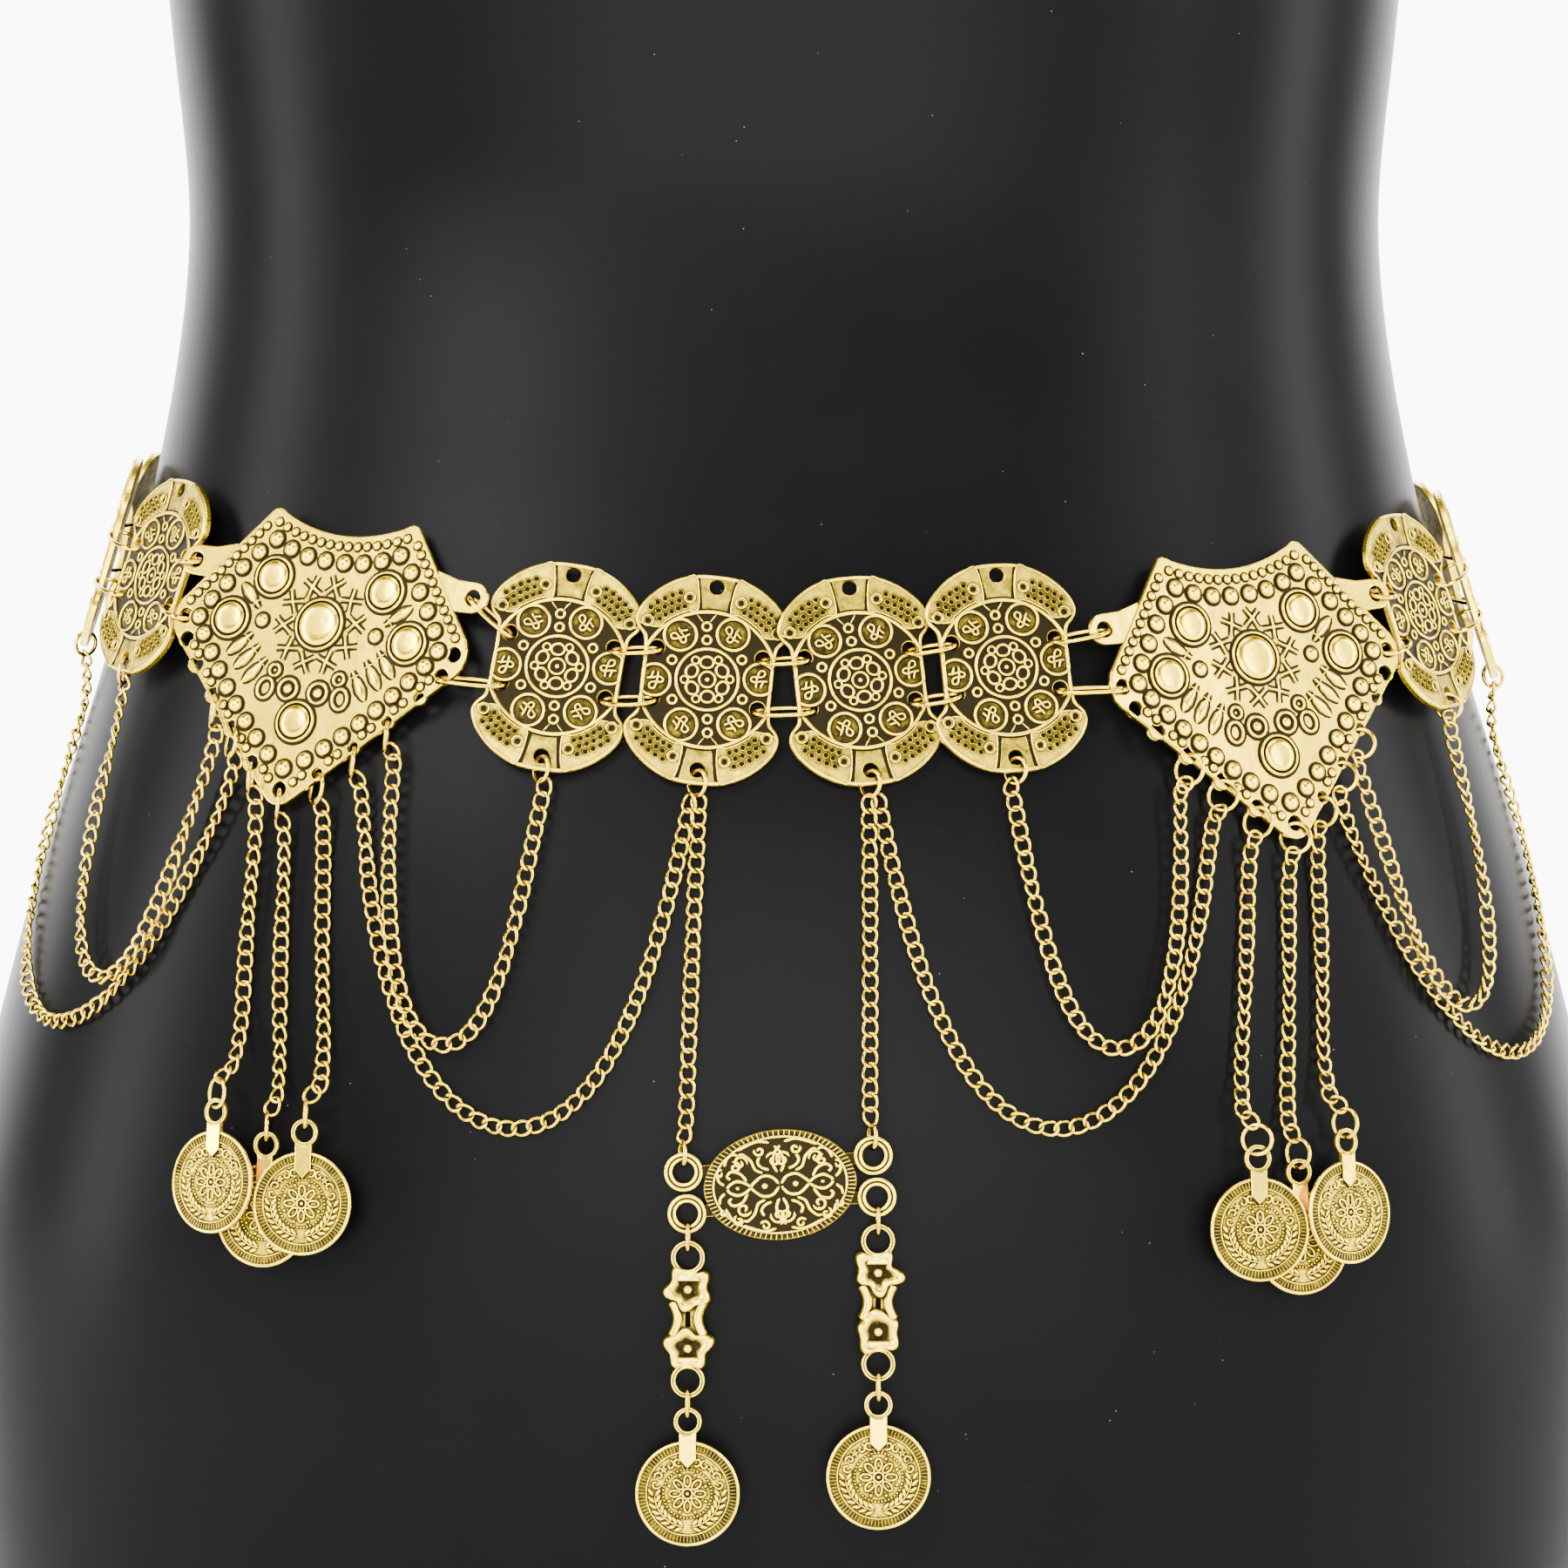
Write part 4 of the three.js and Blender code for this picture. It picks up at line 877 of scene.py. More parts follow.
def draw_shield():
    b = Build()
    b.moat = (1.0, SHIELD_FIELD)
    holes = [(s * x, y) for x, y in SHIELD_HOLES for s in (-1, 1)] + [SHIELD_TIP_HOLE]
    cuts = [circle(x, y, HOLE_RADIUS, sides=18)[::-1] for x, y in holes]
    add_slab(b, shield_outline(), cuts, SHIELD_THICKNESS, bevel=0.3, field=SHIELD_FIELD)
    z = SHIELD_THICKNESS - 0.03
    for x, y, ring in SHIELD_BOSSES:
        add_ring(b, x, y, ring, 0.34, 0.62, z, sides=44, arcs=6)
        add_dome(b, x, y, ring - 0.52, 1.15, z, sides=36, rows=9, low=0.75, fullness=0.42)
    for s in (-1, 1):
        draw_shield_eye(b, s)
        add_dome(b, s * 12.9, -0.8, 1.35, 1.05, z, sides=18, rows=5)
        add_ring(b, s * 3.4, -13.6, 2.0, 0.36, 0.55, z, sides=26)
        add_dome(b, s * 3.4, -13.6, 1.05, 0.75, z, sides=16, rows=4)
        add_ring(b, s * 7.3, -10.3, 1.15, 0.33, 0.55, z, sides=22)
        add_ring(b, s * 8.5, -14.1, 1.65, 0.36, 0.55, z, sides=24, ry=2.05, turn=s * 0.2)
    draw_shield_beads(b, z)
    b.moat = (0.8, SHIELD_FIELD)
    draw_shield_crosses(b, z)
    for start, end in SHIELD_DAGGERS:
        for s in (-1, 1):
            add_blade(b, (s * start[0], start[1]), (s * end[0], end[1]), 1.15, 0.85, z)
    return b


# Coins


def draw_coin_wreath(b, cy, z, s):
    """One side's leaves in the lower half, curls and a star in the upper half."""
    stem = [polar(6.2, a) for a in range(-84, 6, 9)]
    add_wire(b, [(s * x, cy + y) for x, y in stem], 0.15, 0.24, z, arcs=3)
    for a in range(-78, 4, 11):
        for reach, lean in ((5.55, 34), (6.9, -34)):
            x, y = polar(reach, a + 3)
            turn = math.radians(a + 90 + lean)
            turn = turn if s > 0 else math.pi - turn
            add_dome(b, s * x, cy + y, 0.88, 0.38, z, sides=10, rows=3, ry=0.36, turn=turn)
    for a in (16, 31, 58, 73):
        x, y = polar(6.2, a)
        t = np.linspace(0, 3.6, 12)
        reach = 0.95 - 0.2 * t
        curl = [s * (x + reach * np.cos(t * 1.5 + a)), cy + y + reach * np.sin(t * 1.5 + a)]
        add_wire(b, np.stack(curl, axis=1), 0.22, 0.36, z, arcs=3)
    x, y = polar(6.3, 45)
    for k in range(5):
        px, py = polar(0.75, 90 + 72 * k)
        ray = [(s * x + px * share, cy + y + py * share) for share in (0, 0.5, 1)]
        add_wire(b, ray, 0.22, 0.36, z, arcs=3)


def draw_coin_bail(b):
    add_eyelet(b, 0, 0, BAIL_RADIUS, BAIL_HOLE + EYE_RELIEF, COIN_THICKNESS - 0.1, 0.05, sides=30)
    strap = [(-1.6, -2.0), (-1.6, -7.0), (0, -8.6), (1.6, -7.0), (1.6, -2.0), (0.6, -2.55), (-0.6, -2.55)]
    add_slab(b, np.array(strap), [], COIN_THICKNESS + 0.2, bevel=0.12, field=0.9)


def draw_coin():
    """A struck charm coin, drawn with its hanging point at the origin."""
    b = Build()
    cy = -BAIL_ABOVE
    face = 0.66
    profile = [
        (ON_AXIS, 0, 0.5),
        (COIN_RADIUS - 0.2, 0, 0.5),
        (COIN_RADIUS, 0.2, 0.8),
        (COIN_RADIUS, 0.7, 0.9),
        (COIN_RADIUS - 0.2, 0.88, 1.0),
        (COIN_RADIUS - 0.45, 0.88, 1.0),
        (COIN_RADIUS - 0.6, face, 0.05),
        (7.9, face, 0.05),
        (7.75, face, COIN_FIELD),
        (ON_AXIS, face, COIN_FIELD),
    ]
    add_turned(b, 0, cy, profile, 72)
    z = face - 0.02
    ridges = 84
    for k in range(ridges):
        inner, outer = polar(7.95, 360 * k / ridges), polar(9.3, 360 * k / ridges)
        ridge = [(x, cy + y) for x, y in (inner, outer)]
        add_wire(b, ridge, 0.15, 0.34, z, arcs=2, low=0.9)

    # a circle of small beads with a rosette inside it
    b.moat = (0.3, COIN_FIELD)
    add_ring(b, 0, cy, 7.75, 0.14, 0.22, z, sides=64, arcs=3)
    for k in range(44):
        x, y = polar(4.55, 360 * k / 44)
        add_dome(b, x, cy + y, 0.24, 0.28, z, sides=7, rows=2)
    add_ring(b, 0, cy, 0.95, 0.24, 0.36, z, sides=16)
    add_dome(b, 0, cy, 0.42, 0.4, z, sides=10, rows=3)
    for k in range(8):
        x, y = polar(2.35, 45 * k)
        add_ring(b, x, cy + y, 1.1, 0.22, 0.36, z, sides=16, ry=0.62, turn=math.radians(45 * k), arcs=3)
        x, y = polar(3.7, 22.5 + 45 * k)
        add_dome(b, x, cy + y, 0.34, 0.36, z, sides=8, rows=2)
    for s in (-1, 1):
        draw_coin_wreath(b, cy, z, s)
    b.moat = None
    draw_coin_bail(b)
    return b


# Oval pendant

# strokes of one quarter of the oval: half a heart, half a leaf fan, and the scrolls' stems
OVAL_STROKES = [
    [(0.2, 0.2), (1.4, 1.6), (3.2, 1.9), (4.6, 1.0), (5.6, 0.0)],
    [(5.4, 0), (6.6, 0.9), (8.2, 1.3), (9.6, 0.6), (9.9, 0.0)],
    [(6.2, 1.0), (7.2, 2.6), (8.9, 3.2), (9.8, 2.4), (9.2, 1.7)],
    [(0.3, 2.4), (1.0, 4.0), (0.6, 6.0), (-0.6, 7.4)],
    [(3.0, 2.5), (4.4, 3.2), (5.2, 5.0), (6.6, 6.2), (7.4, 6.0)],
    [(10.4, 0.7), (11.4, 1.6), (11.6, 2.8)],
    [(1.4, 8.0), (3.4, 8.4), (5.4, 7.9), (7.6, 6.9)],
    [(3.4, 5.6), (3.9, 4.4), (3.0, 3.4), (1.8, 3.0)],
    [(7.4, 5.9), (8.4, 6.4), (9.6, 5.6), (10.2, 4.2)],
]
# x, y, radius, first angle, turns, hand
OVAL_SCROLLS = [
    (2.2, 5.2, 1.5, 0.3, 1.3, 1),
    (5.8, 4.3, 1.4, 3.4, 1.2, -1),
    (8.6, 5.0, 1.1, 1.2, 1.1, 1),
    (4.3, 7.0, 1.0, 0.4, 1.1, -1),
    (10.6, 3.6, 0.8, 2.2, 1.0, -1),
]


def spiral(x, y, radius, start, turns, hand):
    """A scroll that starts at a point and winds inwards to under a fifth of its radius."""
    t = np.linspace(0, 1, 20)
    reach = radius * (1 - 0.82 * t)
    angle = start + hand * 2 * math.pi * turns * t
    ox, oy = x - radius * math.cos(start), y - radius * math.sin(start)
    return np.stack([ox + reach * np.cos(angle), oy + reach * np.sin(angle)], axis=1)


def oval_crown(path):
    """Height of the domed oval under a path."""
    reach = np.hypot(path[:, 0] / OVAL_HALF_WIDTH, path[:, 1] / OVAL_HALF_HEIGHT)
    return np.interp(reach, [0, 0.3, 0.6, 0.865, 1.0], [1.95, 1.9, 1.7, 1.37, 1.3])


def add_oval_line(b, path):
    part = Build()
    add_wire(part, path, 0.36, 0.5, 0.0)
    points = part.points[0]
    points[:, 2] += np.repeat(oval_crown(path), len(points) // len(path))
    b.take(part)


def draw_oval_eyes(b):
    for s in (-1, 1):
        for v in (-1, 1):
            place = s * OVAL_EYE_X, v * OVAL_EYE_Y
            add_eyelet(b, *place, OVAL_EYE_RADIUS, OVAL_EYE_HOLE, 1.4, sides=34)
            web = np.array([(11.9, 2.6), (15.3, 2.6), (15.3, 4.8), (11.9, 4.8)]) * (s, v)
            add_slab(b, facing(web, s * v), [], 1.1, bevel=0.1, field=0.1)


def draw_oval():
    b = Build()
    a, h = OVAL_HALF_WIDTH, OVAL_HALF_HEIGHT
    sides = 84
    # radius as a share of the oval's, height, relief
    profile = [
        (ON_AXIS / 2, 0, 0.5),
        (0.985, 0, 0.5),
        (1.0, 0.25, 0.8),
        (1.0, 1.15, 0.6),
        (0.98, 1.35, 0.35),
        (0.885, 1.4, 0.15),
        (0.865, 1.35, 0.1),
        (0.6, 1.7, 0.1),
        (0.3, 1.9, 0.1),
        (ON_AXIS / 2, 1.95, 0.1),
    ]
    add_turned(b, 0, 0, profile, sides, scale=(a, h))
    for k in range(sides):
        t = 2 * math.pi * (k + 0.5) / sides
        ridge = [(a * reach * math.cos(t), h * reach * math.sin(t)) for reach in (0.9, 0.99)]
        add_wire(b, ridge, 0.34, 0.55, 1.36, arcs=3, low=0.7)
    add_ring(b, 0, 0, a * 0.872, 0.26, 0.35, 1.4, sides=sides, ry=h * 0.872)

    for s in (-1, 1):
        for v in (-1, 1):
            for stroke in OVAL_STROKES:
                add_oval_line(b, smooth_open([(s * x, v * y) for x, y in stroke], 4))
            for x, y, radius, start, turns, hand in OVAL_SCROLLS:
                start = start if s > 0 else math.pi - start
                add_oval_line(b, spiral(s * x, v * y, radius, start, turns, hand * s * v))
            add_dome(b, s * 6.9, v * 4.9, 0.4, 0.4, 1.55, sides=8, rows=3)
        add_dome(b, s * 2.9, 0, 0.62, 0.5, 1.86, sides=12, rows=4)
        add_dome(b, s * 8.0, 0, 0.45, 0.4, 1.65, sides=10, rows=3)
    draw_oval_eyes(b)
    return b


# Flower drops

# shares of a flower's radius where its cup rises and its lip turns down
CUP_SHARE, LIP_SHARE = 0.45, 0.86


def flower_height(share, d, t, petal):
    """Height of a cupped flower at a share of the way to its edge, whose lip turns down."""
    cup = 0.5 + 0.1 * math.sin(3 * t + d * 2)
    if share >= CUP_SHARE:
        cup = 0.5 + 0.95 * min(1.0, (share - CUP_SHARE) / 0.28)
    lip = 1.0
    if share >= LIP_SHARE:
        lip = math.sqrt(max(0.0, 1 - ((share - LIP_SHARE) / (1 - LIP_SHARE)) ** 2))
    return max(0.0, (cup + 0.25 * petal * share) * lip)


def draw_flower(b, fy, phase, bumps):
    """One rough flower of five lobes with a hollow middle and a nub."""
    slices, rings = 60, 15
    points, relief = [], []
    for i in range(slices):
        t = 2 * math.pi * i / slices
        petal = math.cos(5 * (t - phase))
        rough = sum(4 * size * math.sin((k + 2) * t + turn) for k, (size, turn) in enumerate(bumps))
        edge = (3.85 + 0.5 * petal + rough) * (1.0 + 0.1 * abs(math.cos(t)))
        for k in range(rings):
            share = k / (rings - 1)
            d = edge * share
            points.append((d * math.cos(t), fy + d * math.sin(t), flower_height(share, d, t, petal)))
            relief.append(0.1 if share < 0.5 else min(1.0, 0.3 + (share - 0.5) * 3.2))
    faces = grid_faces(slices, rings, close_rows=True)
    b.add(points, [f[::-1] for f in faces], relief)
    b.add([(x, y, 0.0) for x, y, _ in points], faces, 0.4)
    add_dome(b, 0, fy, 0.95, 1.5, 0.35, sides=16, rows=5, low=0.55)


def draw_drop(seed):
    """A rough hollow double flower between two ring eyes, drawn from its hanging point."""
    local = random.Random(seed)
    b = Build()
    low_eye = DROP_EYE_TOP - DROP_LENGTH
    middle = (DROP_EYE_TOP + low_eye) / 2
    reach = DROP_LENGTH * 0.24
    for sign in (1, -1):
        phase = local.uniform(-0.15, 0.15) - math.pi / 2 * sign
        bumps = [(local.uniform(0.03, 0.09), local.uniform(0, 6.28)) for _ in range(4)]
        draw_flower(b, middle + sign * reach, phase, bumps)
    for sign in (-1, 1):
        side = [(3.0, reach - 2.2), (2.2, 1.7), (1.85, 0.0), (2.2, -1.7), (3.0, 2.2 - reach)]
        side = [(sign * x, middle + y) for x, y in side]
        add_wire(b, smooth_open(side, 5), 0.95, 1.3, 0.0, arcs=6)

    # the slotted neck between the flowers, the eyes and their roots
    neck = np.array([(-2.2, -3.4), (2.2, -3.4), (2.2, 3.4), (-2.2, 3.4)])
    slot = np.array([(0.55, -1.6), (-0.55, -1.6), (-0.5, 1.4), (0.5, 1.4)])
    add_slab(b, neck + (0, middle), [slot + (0, middle)], 0.7, bevel=0.1, field=0.35)
    for eye, sign in ((DROP_EYE_TOP, -1), (low_eye, 1)):
        hole = DROP_EYE_HOLE + EYE_RELIEF
        add_eyelet(b, 0, eye, DROP_EYE_RADIUS, hole, DROP_THICKNESS - 0.15, 0.08, sides=30)
        root = np.array([(-1.7, 2.3), (1.7, 2.3), (2.3, 4.4), (-2.3, 4.4)]) * (1, sign) + (0, eye)
        add_slab(b, facing(root, sign), [], 1.2, bevel=0.3, field=0.9)
    return b


# Places of the castings

FRAMES = {}
for name, *place in ROUND_PLATES + SHIELDS:
    FRAMES[name] = frame_at(*place)


def hole_at(name, x, y):
    thickness = SHIELD_THICKNESS if name.startswith("shield") else PLATE_THICKNESS
    return FRAMES[name] @ Vector((x, y, thickness / 2))


def out_of(name):
    return Vector(FRAMES[name].col[2][:3])


def along_of(name):
    return Vector(FRAMES[name].col[0][:3])


def below(out):
    return (-UP + out * out.z).normalized()


# Chain


LINK_SIDES, LINK_AROUND = 18, 7


def link_points(length=4.25, width=3.35, wire=0.34, twist=0.465):
    """One twisted curb link along x, as a ring of rings."""
    a, c = length / 2 - wire, width / 2 - wire
    path = []
    for i in range(LINK_SIDES):
        t = 2 * math.pi * i / LINK_SIDES
        path.append(Vector((a * math.cos(t), c * math.sin(t), twist * math.sin(2 * t))))
    points = []
    for i, p in enumerate(path):
        travel = (path[(i + 1) % LINK_SIDES] - path[i - 1]).normalized()
        side = travel.cross(UP).normalized()
        face = side.cross(travel).normalized()
        for k in range(LINK_AROUND):
            f = 2 * math.pi * k / LINK_AROUND
            points.append((p + side * (wire * math.cos(f)) + face * (wire * math.sin(f)))[:])
    return np.array(points)


LINK = link_points()
LINK_FACES = flipped(grid_faces(LINK_SIDES, LINK_AROUND, True, True))
LINK_PITCH = 2.9


def resample(points, step):
    """Middles of links of nearly a given pitch along a line, and their true pitch."""
    points = [Vector(p) for p in points]
    run = [0.0]
    for a, b in zip(points, points[1:]):
        run.append(run[-1] + (b - a).length)
    count = max(2, round(run[-1] / step))
    pitch = run[-1] / count
    out, k = [], 0
    for i in range(count):
        wanted = (i + 0.5) * pitch
        while k < len(run) - 2 and run[k + 1] < wanted:
            k += 1
        out.append(points[k].lerp(points[k + 1], (wanted - run[k]) / max(1e-9, run[k + 1] - run[k])))
    return out, pitch


def add_chain(build, route, seed):
    """Curb links along a route, laid nearly flat on the form with a little slack turn."""
    local = random.Random(seed)
    centres, pitch = resample(route, LINK_PITCH)
    stretch = np.array([pitch / LINK_PITCH, 1, 1])
    phase, rate = local.uniform(0, 6.28), local.uniform(0.35, 0.6)
    for i, p in enumerate(centres):
        a = centres[i - 1] if i else Vector(route[0])
        b = centres[i + 1] if i + 1 < len(centres) else Vector(route[-1])
        travel = (b - a).normalized()
        out = axes_at(azimuth_of(p), p.z)[2]
        side = travel.cross(out).normalized()
        face = side.cross(travel).normalized()
        roll = math.radians(24 * math.sin(phase + rate * i) + local.uniform(-9, 9))
        turned_side = side * math.cos(roll) + face * math.sin(roll)
        turned_face = face * math.cos(roll) - side * math.sin(roll)
        m = np.array([travel[:], turned_side[:], turned_face[:]])
        build.add((LINK * stretch) @ m + np.array(p[:]), LINK_FACES, 0.85)


def eased_gap(run, length, start_gap, end_gap, rest):
    """The gap to the form along a chain, which leaves and meets its rings smoothly."""
    near_start = max(0.0, 1 - run / EASE_LENGTH) ** 2
    near_end = max(0.0, 1 - (length - run) / EASE_LENGTH) ** 2
    return rest + (start_gap - rest) * near_start + (end_gap - rest) * near_end


def draped_route(start, end, length, rest):
    """A hanging chain's curve of a given length, wrapped onto the form."""
    count = 110
    a0, a1 = azimuth_of(start), azimuth_of(end)
    span = arc_between(a0, a1, (start.z + end.z) / 2 - length / 4)
    drop = end.z - start.z
    target = math.sqrt(length**2 - drop**2)
    # the curve's parameter is found by halving its range
    low, high = span / 40, span * 40
    for _ in range(60):
        c = math.sqrt(low * high)
        if 2 * c * math.sinh(span / (2 * c)) > target:
            low = c
        else:
            high = c
    c = math.sqrt(low * high)
    middle = span / 2 - c * math.asinh(drop / (2 * c * math.sinh(span / (2 * c))))
    points = []
    for i in range(count + 1):
        run = length * i / count
        x = middle + c * math.asinh(run / c + math.sinh(-middle / c))
        z = start.z + c * (math.cosh((x - middle) / c) - math.cosh(middle / c))
        gap = eased_gap(run, length, gap_of(start), gap_of(end), rest)
        points.append(on_form(a0 + (a1 - a0) * x / span, z, gap))
    return [start, *points[1:-1], end]


def straight_route(start, end):
    """A taut chain's line, wrapped onto the form."""
    count = 40
    length = (end - start).length
    a0, a1 = azimuth_of(start), azimuth_of(end)
    points = []
    for i in range(count + 1):
        t = i / count
        gap = eased_gap(length * t, length, gap_of(start), gap_of(end), CHAIN_GAP)
        points.append(on_form(a0 + (a1 - a0) * t, start.z + (end.z - start.z) * t, gap))
    return [start, *points[1:-1], end]


def hanging_ring(build, hole, out, radius=RING_RADIUS, turn=RING_TURN):
    """A jump ring through a hole. Returns its foot, where the chain starts."""
    down = below(out)
    along = out.cross(down).normalized()
    across = out * math.cos(math.radians(turn)) + along * math.sin(math.radians(turn))
    centre = hole + down * radius
    add_torus(build, centre, down, across, radius, radius, WIRE)
    return centre + down * radius


def shield_hole(offset):
    size = abs(offset)
    hole = next((h for h in SHIELD_HOLES if abs(h[0] - size) < 1), SHIELD_TIP_HOLE)
    return math.copysign(hole[0], offset), hole[1]


# Pieces


def put(build, name, material, body="root", nodes=None):
    """Make a piece. It stands for the node of its own name, unless others or none are given."""
    obj = build.finish("look_" + name, material)
    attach(obj, body)
    replaced = [name] if nodes is None else nodes
    if replaced:
        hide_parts(*replaced)


def make_form():
    b = Build()
    sides, rows, edge_rows = 180, 110, 8
    rounding = []
    for i in range(edge_rows):
        turn = math.pi / 2 * i / edge_rows
        rounding.append((FORM_EDGE_ROUND * (1 - math.cos(turn)), FORM_EDGE_ROUND * (1 - math.sin(turn))))
    upright = np.linspace(FORM_EDGE_ROUND, FORM_HEIGHT - FORM_EDGE_ROUND, rows)
    levels = rounding + [(z, 0.0) for z in upright]
    levels += [(FORM_HEIGHT - z, inset) for z, inset in rounding[::-1]]
    points = []
    for z, inset in levels:
        for i in range(sides):
            a = 2 * math.pi * i / sides
            out = axes_at(a, z)[2]
            flat = Vector((out.x, out.y, 0)).normalized()
            points.append((surface(a, z) - flat * inset)[:])
    low_middle, top_middle = len(points), len(points) + 1
    top_rim = (len(levels) - 1) * sides
    points += [(0, 0, 0), (0, 0, FORM_HEIGHT)]
    b.add(points, flipped(grid_faces(len(levels), sides, close_cols=True)), 0.5)
    # flat ends, each a fan of triangles round its middle
    for i in range(sides):
        after = (i + 1) % sides
        b.faces += [(low_middle, after, i), (top_middle, top_rim + i, top_rim + after)]
    b.smooth += [False] * (2 * sides)
    put(b, "form", FORM_BLACK, nodes=["hip_form"])


def make_castings():
    plate, shield = draw_plate(), draw_shield()
    for name, frame_matrix in FRAMES.items():
        b = Build()
        if name.startswith("shield"):
            b.take(shield, frame_matrix)
            put(b, name, BRIGHT)
        else:
            b.take(plate, frame_matrix)
            put(b, name, ANTIQUE)


PLATE_RIGHT = [(PLATE_SIDE_X, PLATE_UPPER_Y), (PLATE_SIDE_X, PLATE_LOWER_Y)]
PLATE_LEFT = [(-x, y) for x, y in PLATE_RIGHT]
EYE_RIGHT, EYE_LEFT = SHIELD_EYE, (-SHIELD_EYE[0], SHIELD_EYE[1])
FIRST_RIGHT, FIRST_LEFT = SHIELD_HOLES[0], (-SHIELD_HOLES[0][0], SHIELD_HOLES[0][1])
# the belt from left to right: name, holes on its left, holes on its right
BELT = [
    *((f"plate_left_{i}", PLATE_LEFT, PLATE_RIGHT) for i in (3, 2, 1)),
    ("shield_left", [EYE_LEFT, FIRST_LEFT], [EYE_RIGHT, SHIELD_HOLES[1]]),
    *((f"plate_front_{i}", PLATE_LEFT, PLATE_RIGHT) for i in (1, 2, 3, 4)),
    ("shield_right", [EYE_LEFT, FIRST_LEFT], [EYE_RIGHT, FIRST_RIGHT]),
    *((f"plate_right_{i}", PLATE_LEFT, PLATE_RIGHT) for i in (1, 2, 3)),
]
PLATE_RING = 2.5


def make_belt_rings():
    b = Build()
    for (name, _, right), (other, left, _) in zip(BELT, BELT[1:]):
        for hole, far in zip(right, left):
            start, end = hole_at(name, *hole), hole_at(other, *far)
            along = (end - start).normalized()
            reach = (end - start).length / 2 + 0.75
            out = (out_of(name) + out_of(other)).normalized()
            droop = math.radians(rng.uniform(20, 31))
            across = out * math.cos(droop) + below(out) * math.sin(droop)
            centre = (start + end) / 2 + out * 0.35 + below(out) * 0.5
            add_torus(b, centre, along, across, reach, 2.6, WIRE)
    put(b, "belt_rings", WIRE_GOLD, nodes=[])


def make_swags():
    for index, (name, shield, hole, plate, length, over) in enumerate(SWAGS):
        b = Build()
        top = hole_at(shield, *shield_hole(hole))
        turn = RING_TURN + rng.uniform(-14, 14)
        start = hanging_ring(b, top, out_of(shield), turn=turn)
        # the rings below the two middle plates belong to the pendant's chains
        shared = plate in ("plate_front_2", "plate_front_3")
        ring = Build() if shared else b
        end = hanging_ring(ring, hole_at(plate, 0, PLATE_BOTTOM_Y), out_of(plate), PLATE_RING)
        if shared:
            end += along_of(plate) * (-1.6 if plate == "plate_front_2" else 1.6)
        rest = CHAIN_GAP + (CROSSING_RISE if over else 0)
        add_chain(b, draped_route(start, end, length, rest), 40 + index)
        put(b, name, WIRE_GOLD)


def make_coins(coin):
    for index, (side, number, hole, azimuth, height, layer, spread) in enumerate(COIN_CHAINS):
        name = f"coin_{side}_{number}"
        m = frame_at(azimuth, height, 0, spread, COIN_GAP + layer * COIN_LAYER)
        b = Build()
        b.take(coin, m)
        put(b, name, STRUCK, body="root" if number == 2 else name)
        chain = Build()
        shield = f"shield_{side}"
        turn = RING_TURN + rng.uniform(-16, 16)
        start = hanging_ring(chain, hole_at(shield, *shield_hole(hole)), out_of(shield), turn=turn)
        _, up, out = axes_at(math.radians(azimuth), height)
        foot = m @ Vector((0, SEAT_ABOVE, COIN_THICKNESS / 2)) + up * 2 * COIN_RING
        hanging_ring(chain, foot, out, COIN_RING, 60 if number == 1 else 25)
        add_chain(chain, straight_route(start, foot), 60 + index)
        put(chain, f"coin_chain_{side}_{number}", WIRE_GOLD)


def add_link(build, top, up, out):
    """A small ring hanging from a point. Returns the middle of its wire at its foot."""
    add_torus(build, top - up * DROP_LINK, -up, out, DROP_LINK, DROP_LINK * 0.9, WIRE - 0.04)
    return top - up * 2 * DROP_LINK


def make_pendant(coin):
    m = frame_at(OVAL_AZIMUTH, OVAL_HEIGHT, OVAL_LEAN, 0, OVAL_GAP)
    b = Build()
    b.take(draw_oval(), m)
    put(b, "pendant_oval", ANTIQUE)
    links = Build()
    for sign, word, plate in ((-1, "left", "plate_front_2"), (1, "right", "plate_front_3")):
        lower = m @ Vector((sign * OVAL_EYE_X, -OVAL_EYE_Y - OVAL_EYE_HOLE, OVAL_EYE_MIDDLE))
        axes = axes_at(azimuth_of(lower), lower.z)
        _, up, out = axes
        make_drop(word, add_link(links, lower + up * WIRE_REST, up, out), axes, coin, sign)
        upper = m @ Vector((sign * OVAL_EYE_X, OVAL_EYE_Y + OVAL_EYE_HOLE, OVAL_EYE_MIDDLE))
        chain = Build()
        start = hanging_ring(chain, hole_at(plate, 0, PLATE_BOTTOM_Y), out_of(plate), PLATE_RING)
        foot = upper - up * (WIRE + SEAM + 0.1) + up * 2 * OVAL_RING
        hanging_ring(chain, foot, out, OVAL_RING, 15)
        add_chain(chain, straight_route(start, foot), 80 + sign)
        put(chain, "pendant_chain_" + word, WIRE_GOLD)
    put(links, "pendant_links", WIRE_GOLD, nodes=[])


def make_drop(word, wire, axes, coin, seed):
    """A flower drop on a wire, its link and the coin below it."""
    _, up, out = axes
    body = "drop_" + word
    m = basis(*axes, wire - out * (DROP_THICKNESS / 2))
    b = Build()
    b.take(draw_drop(seed + 5), m)
    put(b, body, BRIGHT, body=body)
    low_rim = DROP_EYE_TOP - DROP_LENGTH - DROP_EYE_HOLE * BEARING
    ring = Build()
    foot = add_link(ring, m @ Vector((0, low_rim + WIRE_REST, DROP_THICKNESS / 2)), up, out)
    put(ring, "drop_link_" + word, WIRE_GOLD, body=body, nodes=[])
    c = Build()
    c.take(coin, basis(*axes, foot - up * SEAT_ABOVE - out * (COIN_THICKNESS / 2)))
    put(c, "coin_drop_" + word, STRUCK, body="coin_drop_" + word)


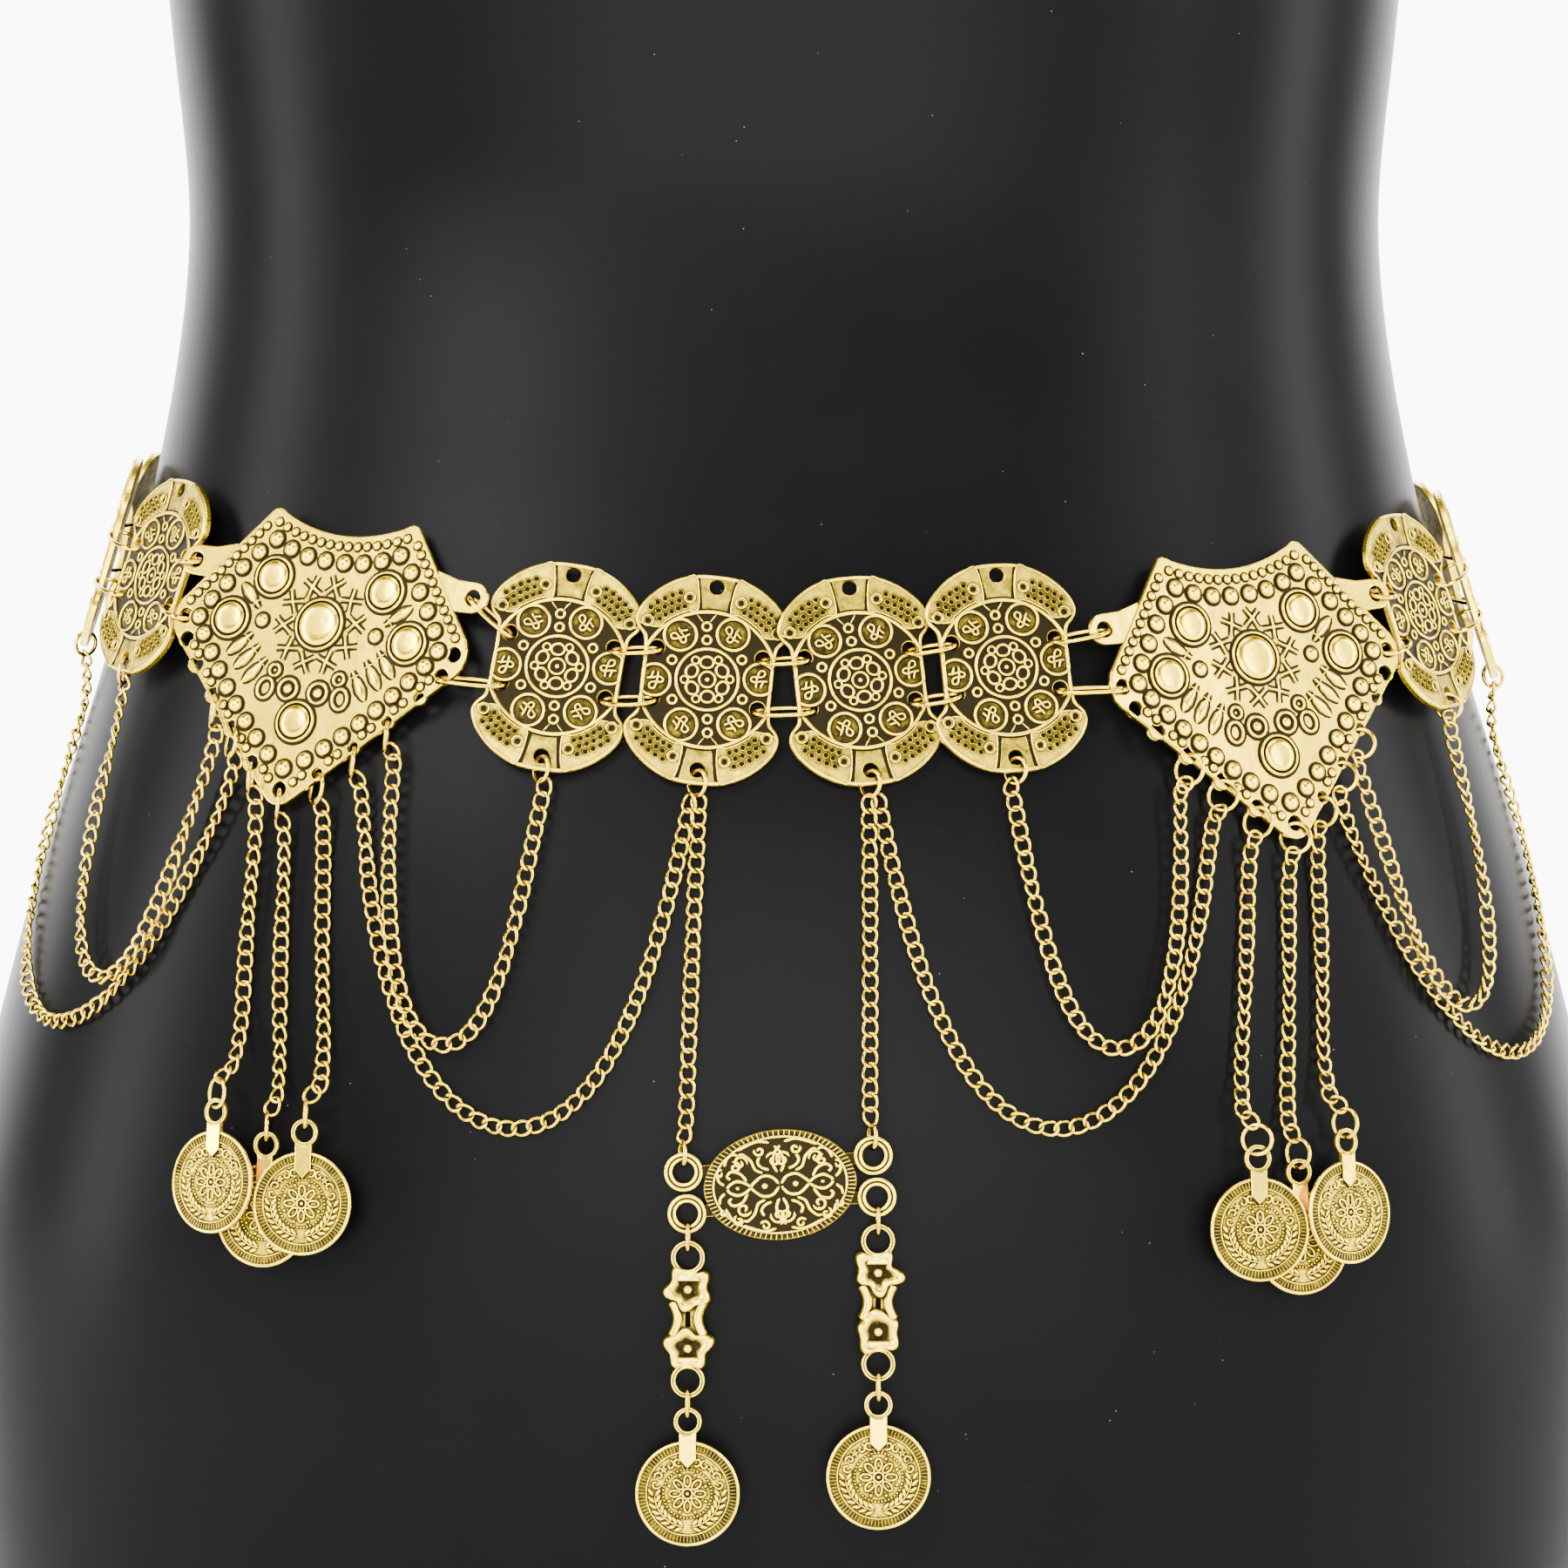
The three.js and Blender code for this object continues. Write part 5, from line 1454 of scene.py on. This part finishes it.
def make_back_chain(word, plate, sign):
    """A plain chain from the last plate to the clasp. The right one also has the extender tail."""
    b = Build()
    radius = form_radius(math.pi, BACK_HEIGHT)
    along = along_of(plate) * sign
    across = (out_of(plate) * 0.75 - UP * 0.66).normalized()
    centre = hole_at(plate, sign * PLATE_SIDE_X, PLATE_UPPER_Y) + along * 2.5
    add_torus(b, centre, along, across, END_RING, END_RING, WIRE)
    start = centre + along * END_RING
    a0, a1 = azimuth_of(start), sign * (math.pi - (CLASP_LENGTH / 2 + SEAM) / radius)
    length = arc_between(a0, a1, BACK_HEIGHT)
    steps = 60
    points = []
    for i in range(steps + 1):
        t = i / steps
        z = start.z + (BACK_HEIGHT - start.z) * t - BACK_SAG * math.sin(math.pi * t)
        gap = eased_gap(length * t, length, gap_of(start), CHAIN_GAP, CHAIN_GAP)
        points.append(on_form(a0 + (a1 - a0) * t, z, gap))
    add_chain(b, [start, *points[1:]], 90 + sign)
    if sign > 0:
        azimuth = math.pi - (CLASP_LENGTH / 2 + TAIL_BESIDE) / radius
        tail = [on_form(azimuth, BACK_HEIGHT - EXTENDER_LENGTH * i / 30, CHAIN_GAP) for i in range(31)]
        add_chain(b, tail, 95)
    put(b, "back_chain_" + word, WIRE_GOLD)


def make_clasp():
    """A hook clasp: a swelling body with an eye at one end and a ridge down its middle."""
    b = Build()
    upper = [(5.6, 1.7), (2.6, 3.3), (-2.6, 2.7), (-5.4, 1.3)]
    lower = [(x, -y) for x, y in upper[::-1]]
    outline = smooth_closed([(-6.3, 0), *lower, (6.4, 0), *upper], per=5)
    add_slab(b, outline, [circle(1.9, 0, 1.8, 1.5, sides=20)[::-1]], 2.0, bevel=0.5, field=0.9)
    add_ring(b, -4.4, 0, 0.7, 0.25, 0.3, 1.95, sides=18)
    add_wire(b, [(-3.2, 1.5), (-0.8, 2.3), (1.8, 2.4), (4.2, 1.7)], 0.35, 0.5, 1.9)
    body = Build()
    body.take(b, frame_at(180, BACK_HEIGHT, 0, 0, 0.6))
    put(body, "clasp", STRUCK)


def make_back():
    make_back_chain("left", "plate_left_3", -1)
    make_back_chain("right", "plate_right_3", 1)
    make_clasp()


# Studio


def emitter(name, colour, strength):
    material, _, shader = new_material(name)
    shader.inputs["Base Color"].default_value = (*colour, 1)
    shader.inputs["Roughness"].default_value = 0.9
    shader.inputs["Emission Color"].default_value = (*colour, 1)
    shader.inputs["Emission Strength"].default_value = strength
    return material


def stage_sheet(name, profile, material):
    """A wide sheet through the points of a profile in y and z."""
    half_width = 3.6
    points = []
    for y, z in profile:
        points += [(-half_width, y, z), (half_width, y, z)]
    faces = [(2 * i, 2 * i + 1, 2 * i + 3, 2 * i + 2) for i in range(len(profile) - 1)]
    mesh = bpy.data.meshes.new(name)
    mesh.from_pydata(points, [], faces)
    mesh.polygons.foreach_set("use_smooth", [True] * len(faces))
    mesh.materials.append(material)
    sheet = bpy.data.objects.new(name, mesh)
    bpy.context.scene.collection.objects.link(sheet)


def make_studio():
    floor = emitter("pale_floor", (0.85, 0.85, 0.85), 2.2)
    wall = emitter("white_wall", (0.95, 0.95, 0.95), 7.0)
    below_feet, wall_y = -0.0005, 1.45
    stage_sheet("floor", [(-2.6, below_feet), (wall_y, below_feet)], floor)
    stage_sheet("wall", [(wall_y, below_feet), (wall_y + 0.05, 0.02), (wall_y + 0.05, 2.6)], wall)

    world = bpy.data.worlds.new("room")
    bpy.context.scene.world = world
    world.use_nodes = True
    background = world.node_tree.nodes["Background"]
    background.inputs["Color"].default_value = (0.92, 0.95, 1.0, 1)
    background.inputs["Strength"].default_value = 0.12

    target = Vector((0, 0, FORM_HEIGHT / 2 * MM))
    # name, place in metres, width, height, watts
    lights = [
        ("key", (-0.85, -1.35, 1.15), 0.75, 0.75, 70),
        ("fill", (1.15, -1.15, 0.75), 0.45, 1.1, 32),
        ("strip_left", (-1.25, -0.35, 0.45), 0.25, 1.3, 42),
        ("strip_right", (1.25, -0.25, 0.45), 0.25, 1.3, 42),
        ("top", (0.1, -0.45, 1.6), 1.1, 0.6, 30),
        ("behind_camera", (0.0, -1.75, 0.25), 1.3, 0.9, 66),
    ]
    for name, place, width, height, watts in lights:
        data = bpy.data.lights.new(name, "AREA")
        data.shape = "RECTANGLE"
        data.size, data.size_y, data.energy = width, height, watts
        lamp = bpy.data.objects.new(name, data)
        lamp.location = place
        lamp.rotation_euler = (target - Vector(place)).to_track_quat("-Z", "Y").to_euler()
        bpy.context.scene.collection.objects.link(lamp)


# metres from the form's own axis, and above the floor
CAMERA_DISTANCE, CAMERA_HEIGHT = 0.80085, 0.185


def make_camera():
    data = bpy.data.cameras.new("camera")
    data.lens = 85
    data.sensor_width = 36
    data.clip_start, data.clip_end = 0.01, 20
    camera = bpy.data.objects.new("camera", data)
    camera.location = (0.0, -CAMERA_DISTANCE - MIDDLE_Y * MM, CAMERA_HEIGHT)
    camera.rotation_euler = (math.pi / 2, 0, 0)
    bpy.context.scene.collection.objects.link(camera)
    bpy.context.scene.camera = camera


make_camera()
make_studio()
make_form()
make_castings()
make_belt_rings()
make_swags()
coin = draw_coin()
make_coins(coin)
make_pendant(coin)
make_back()
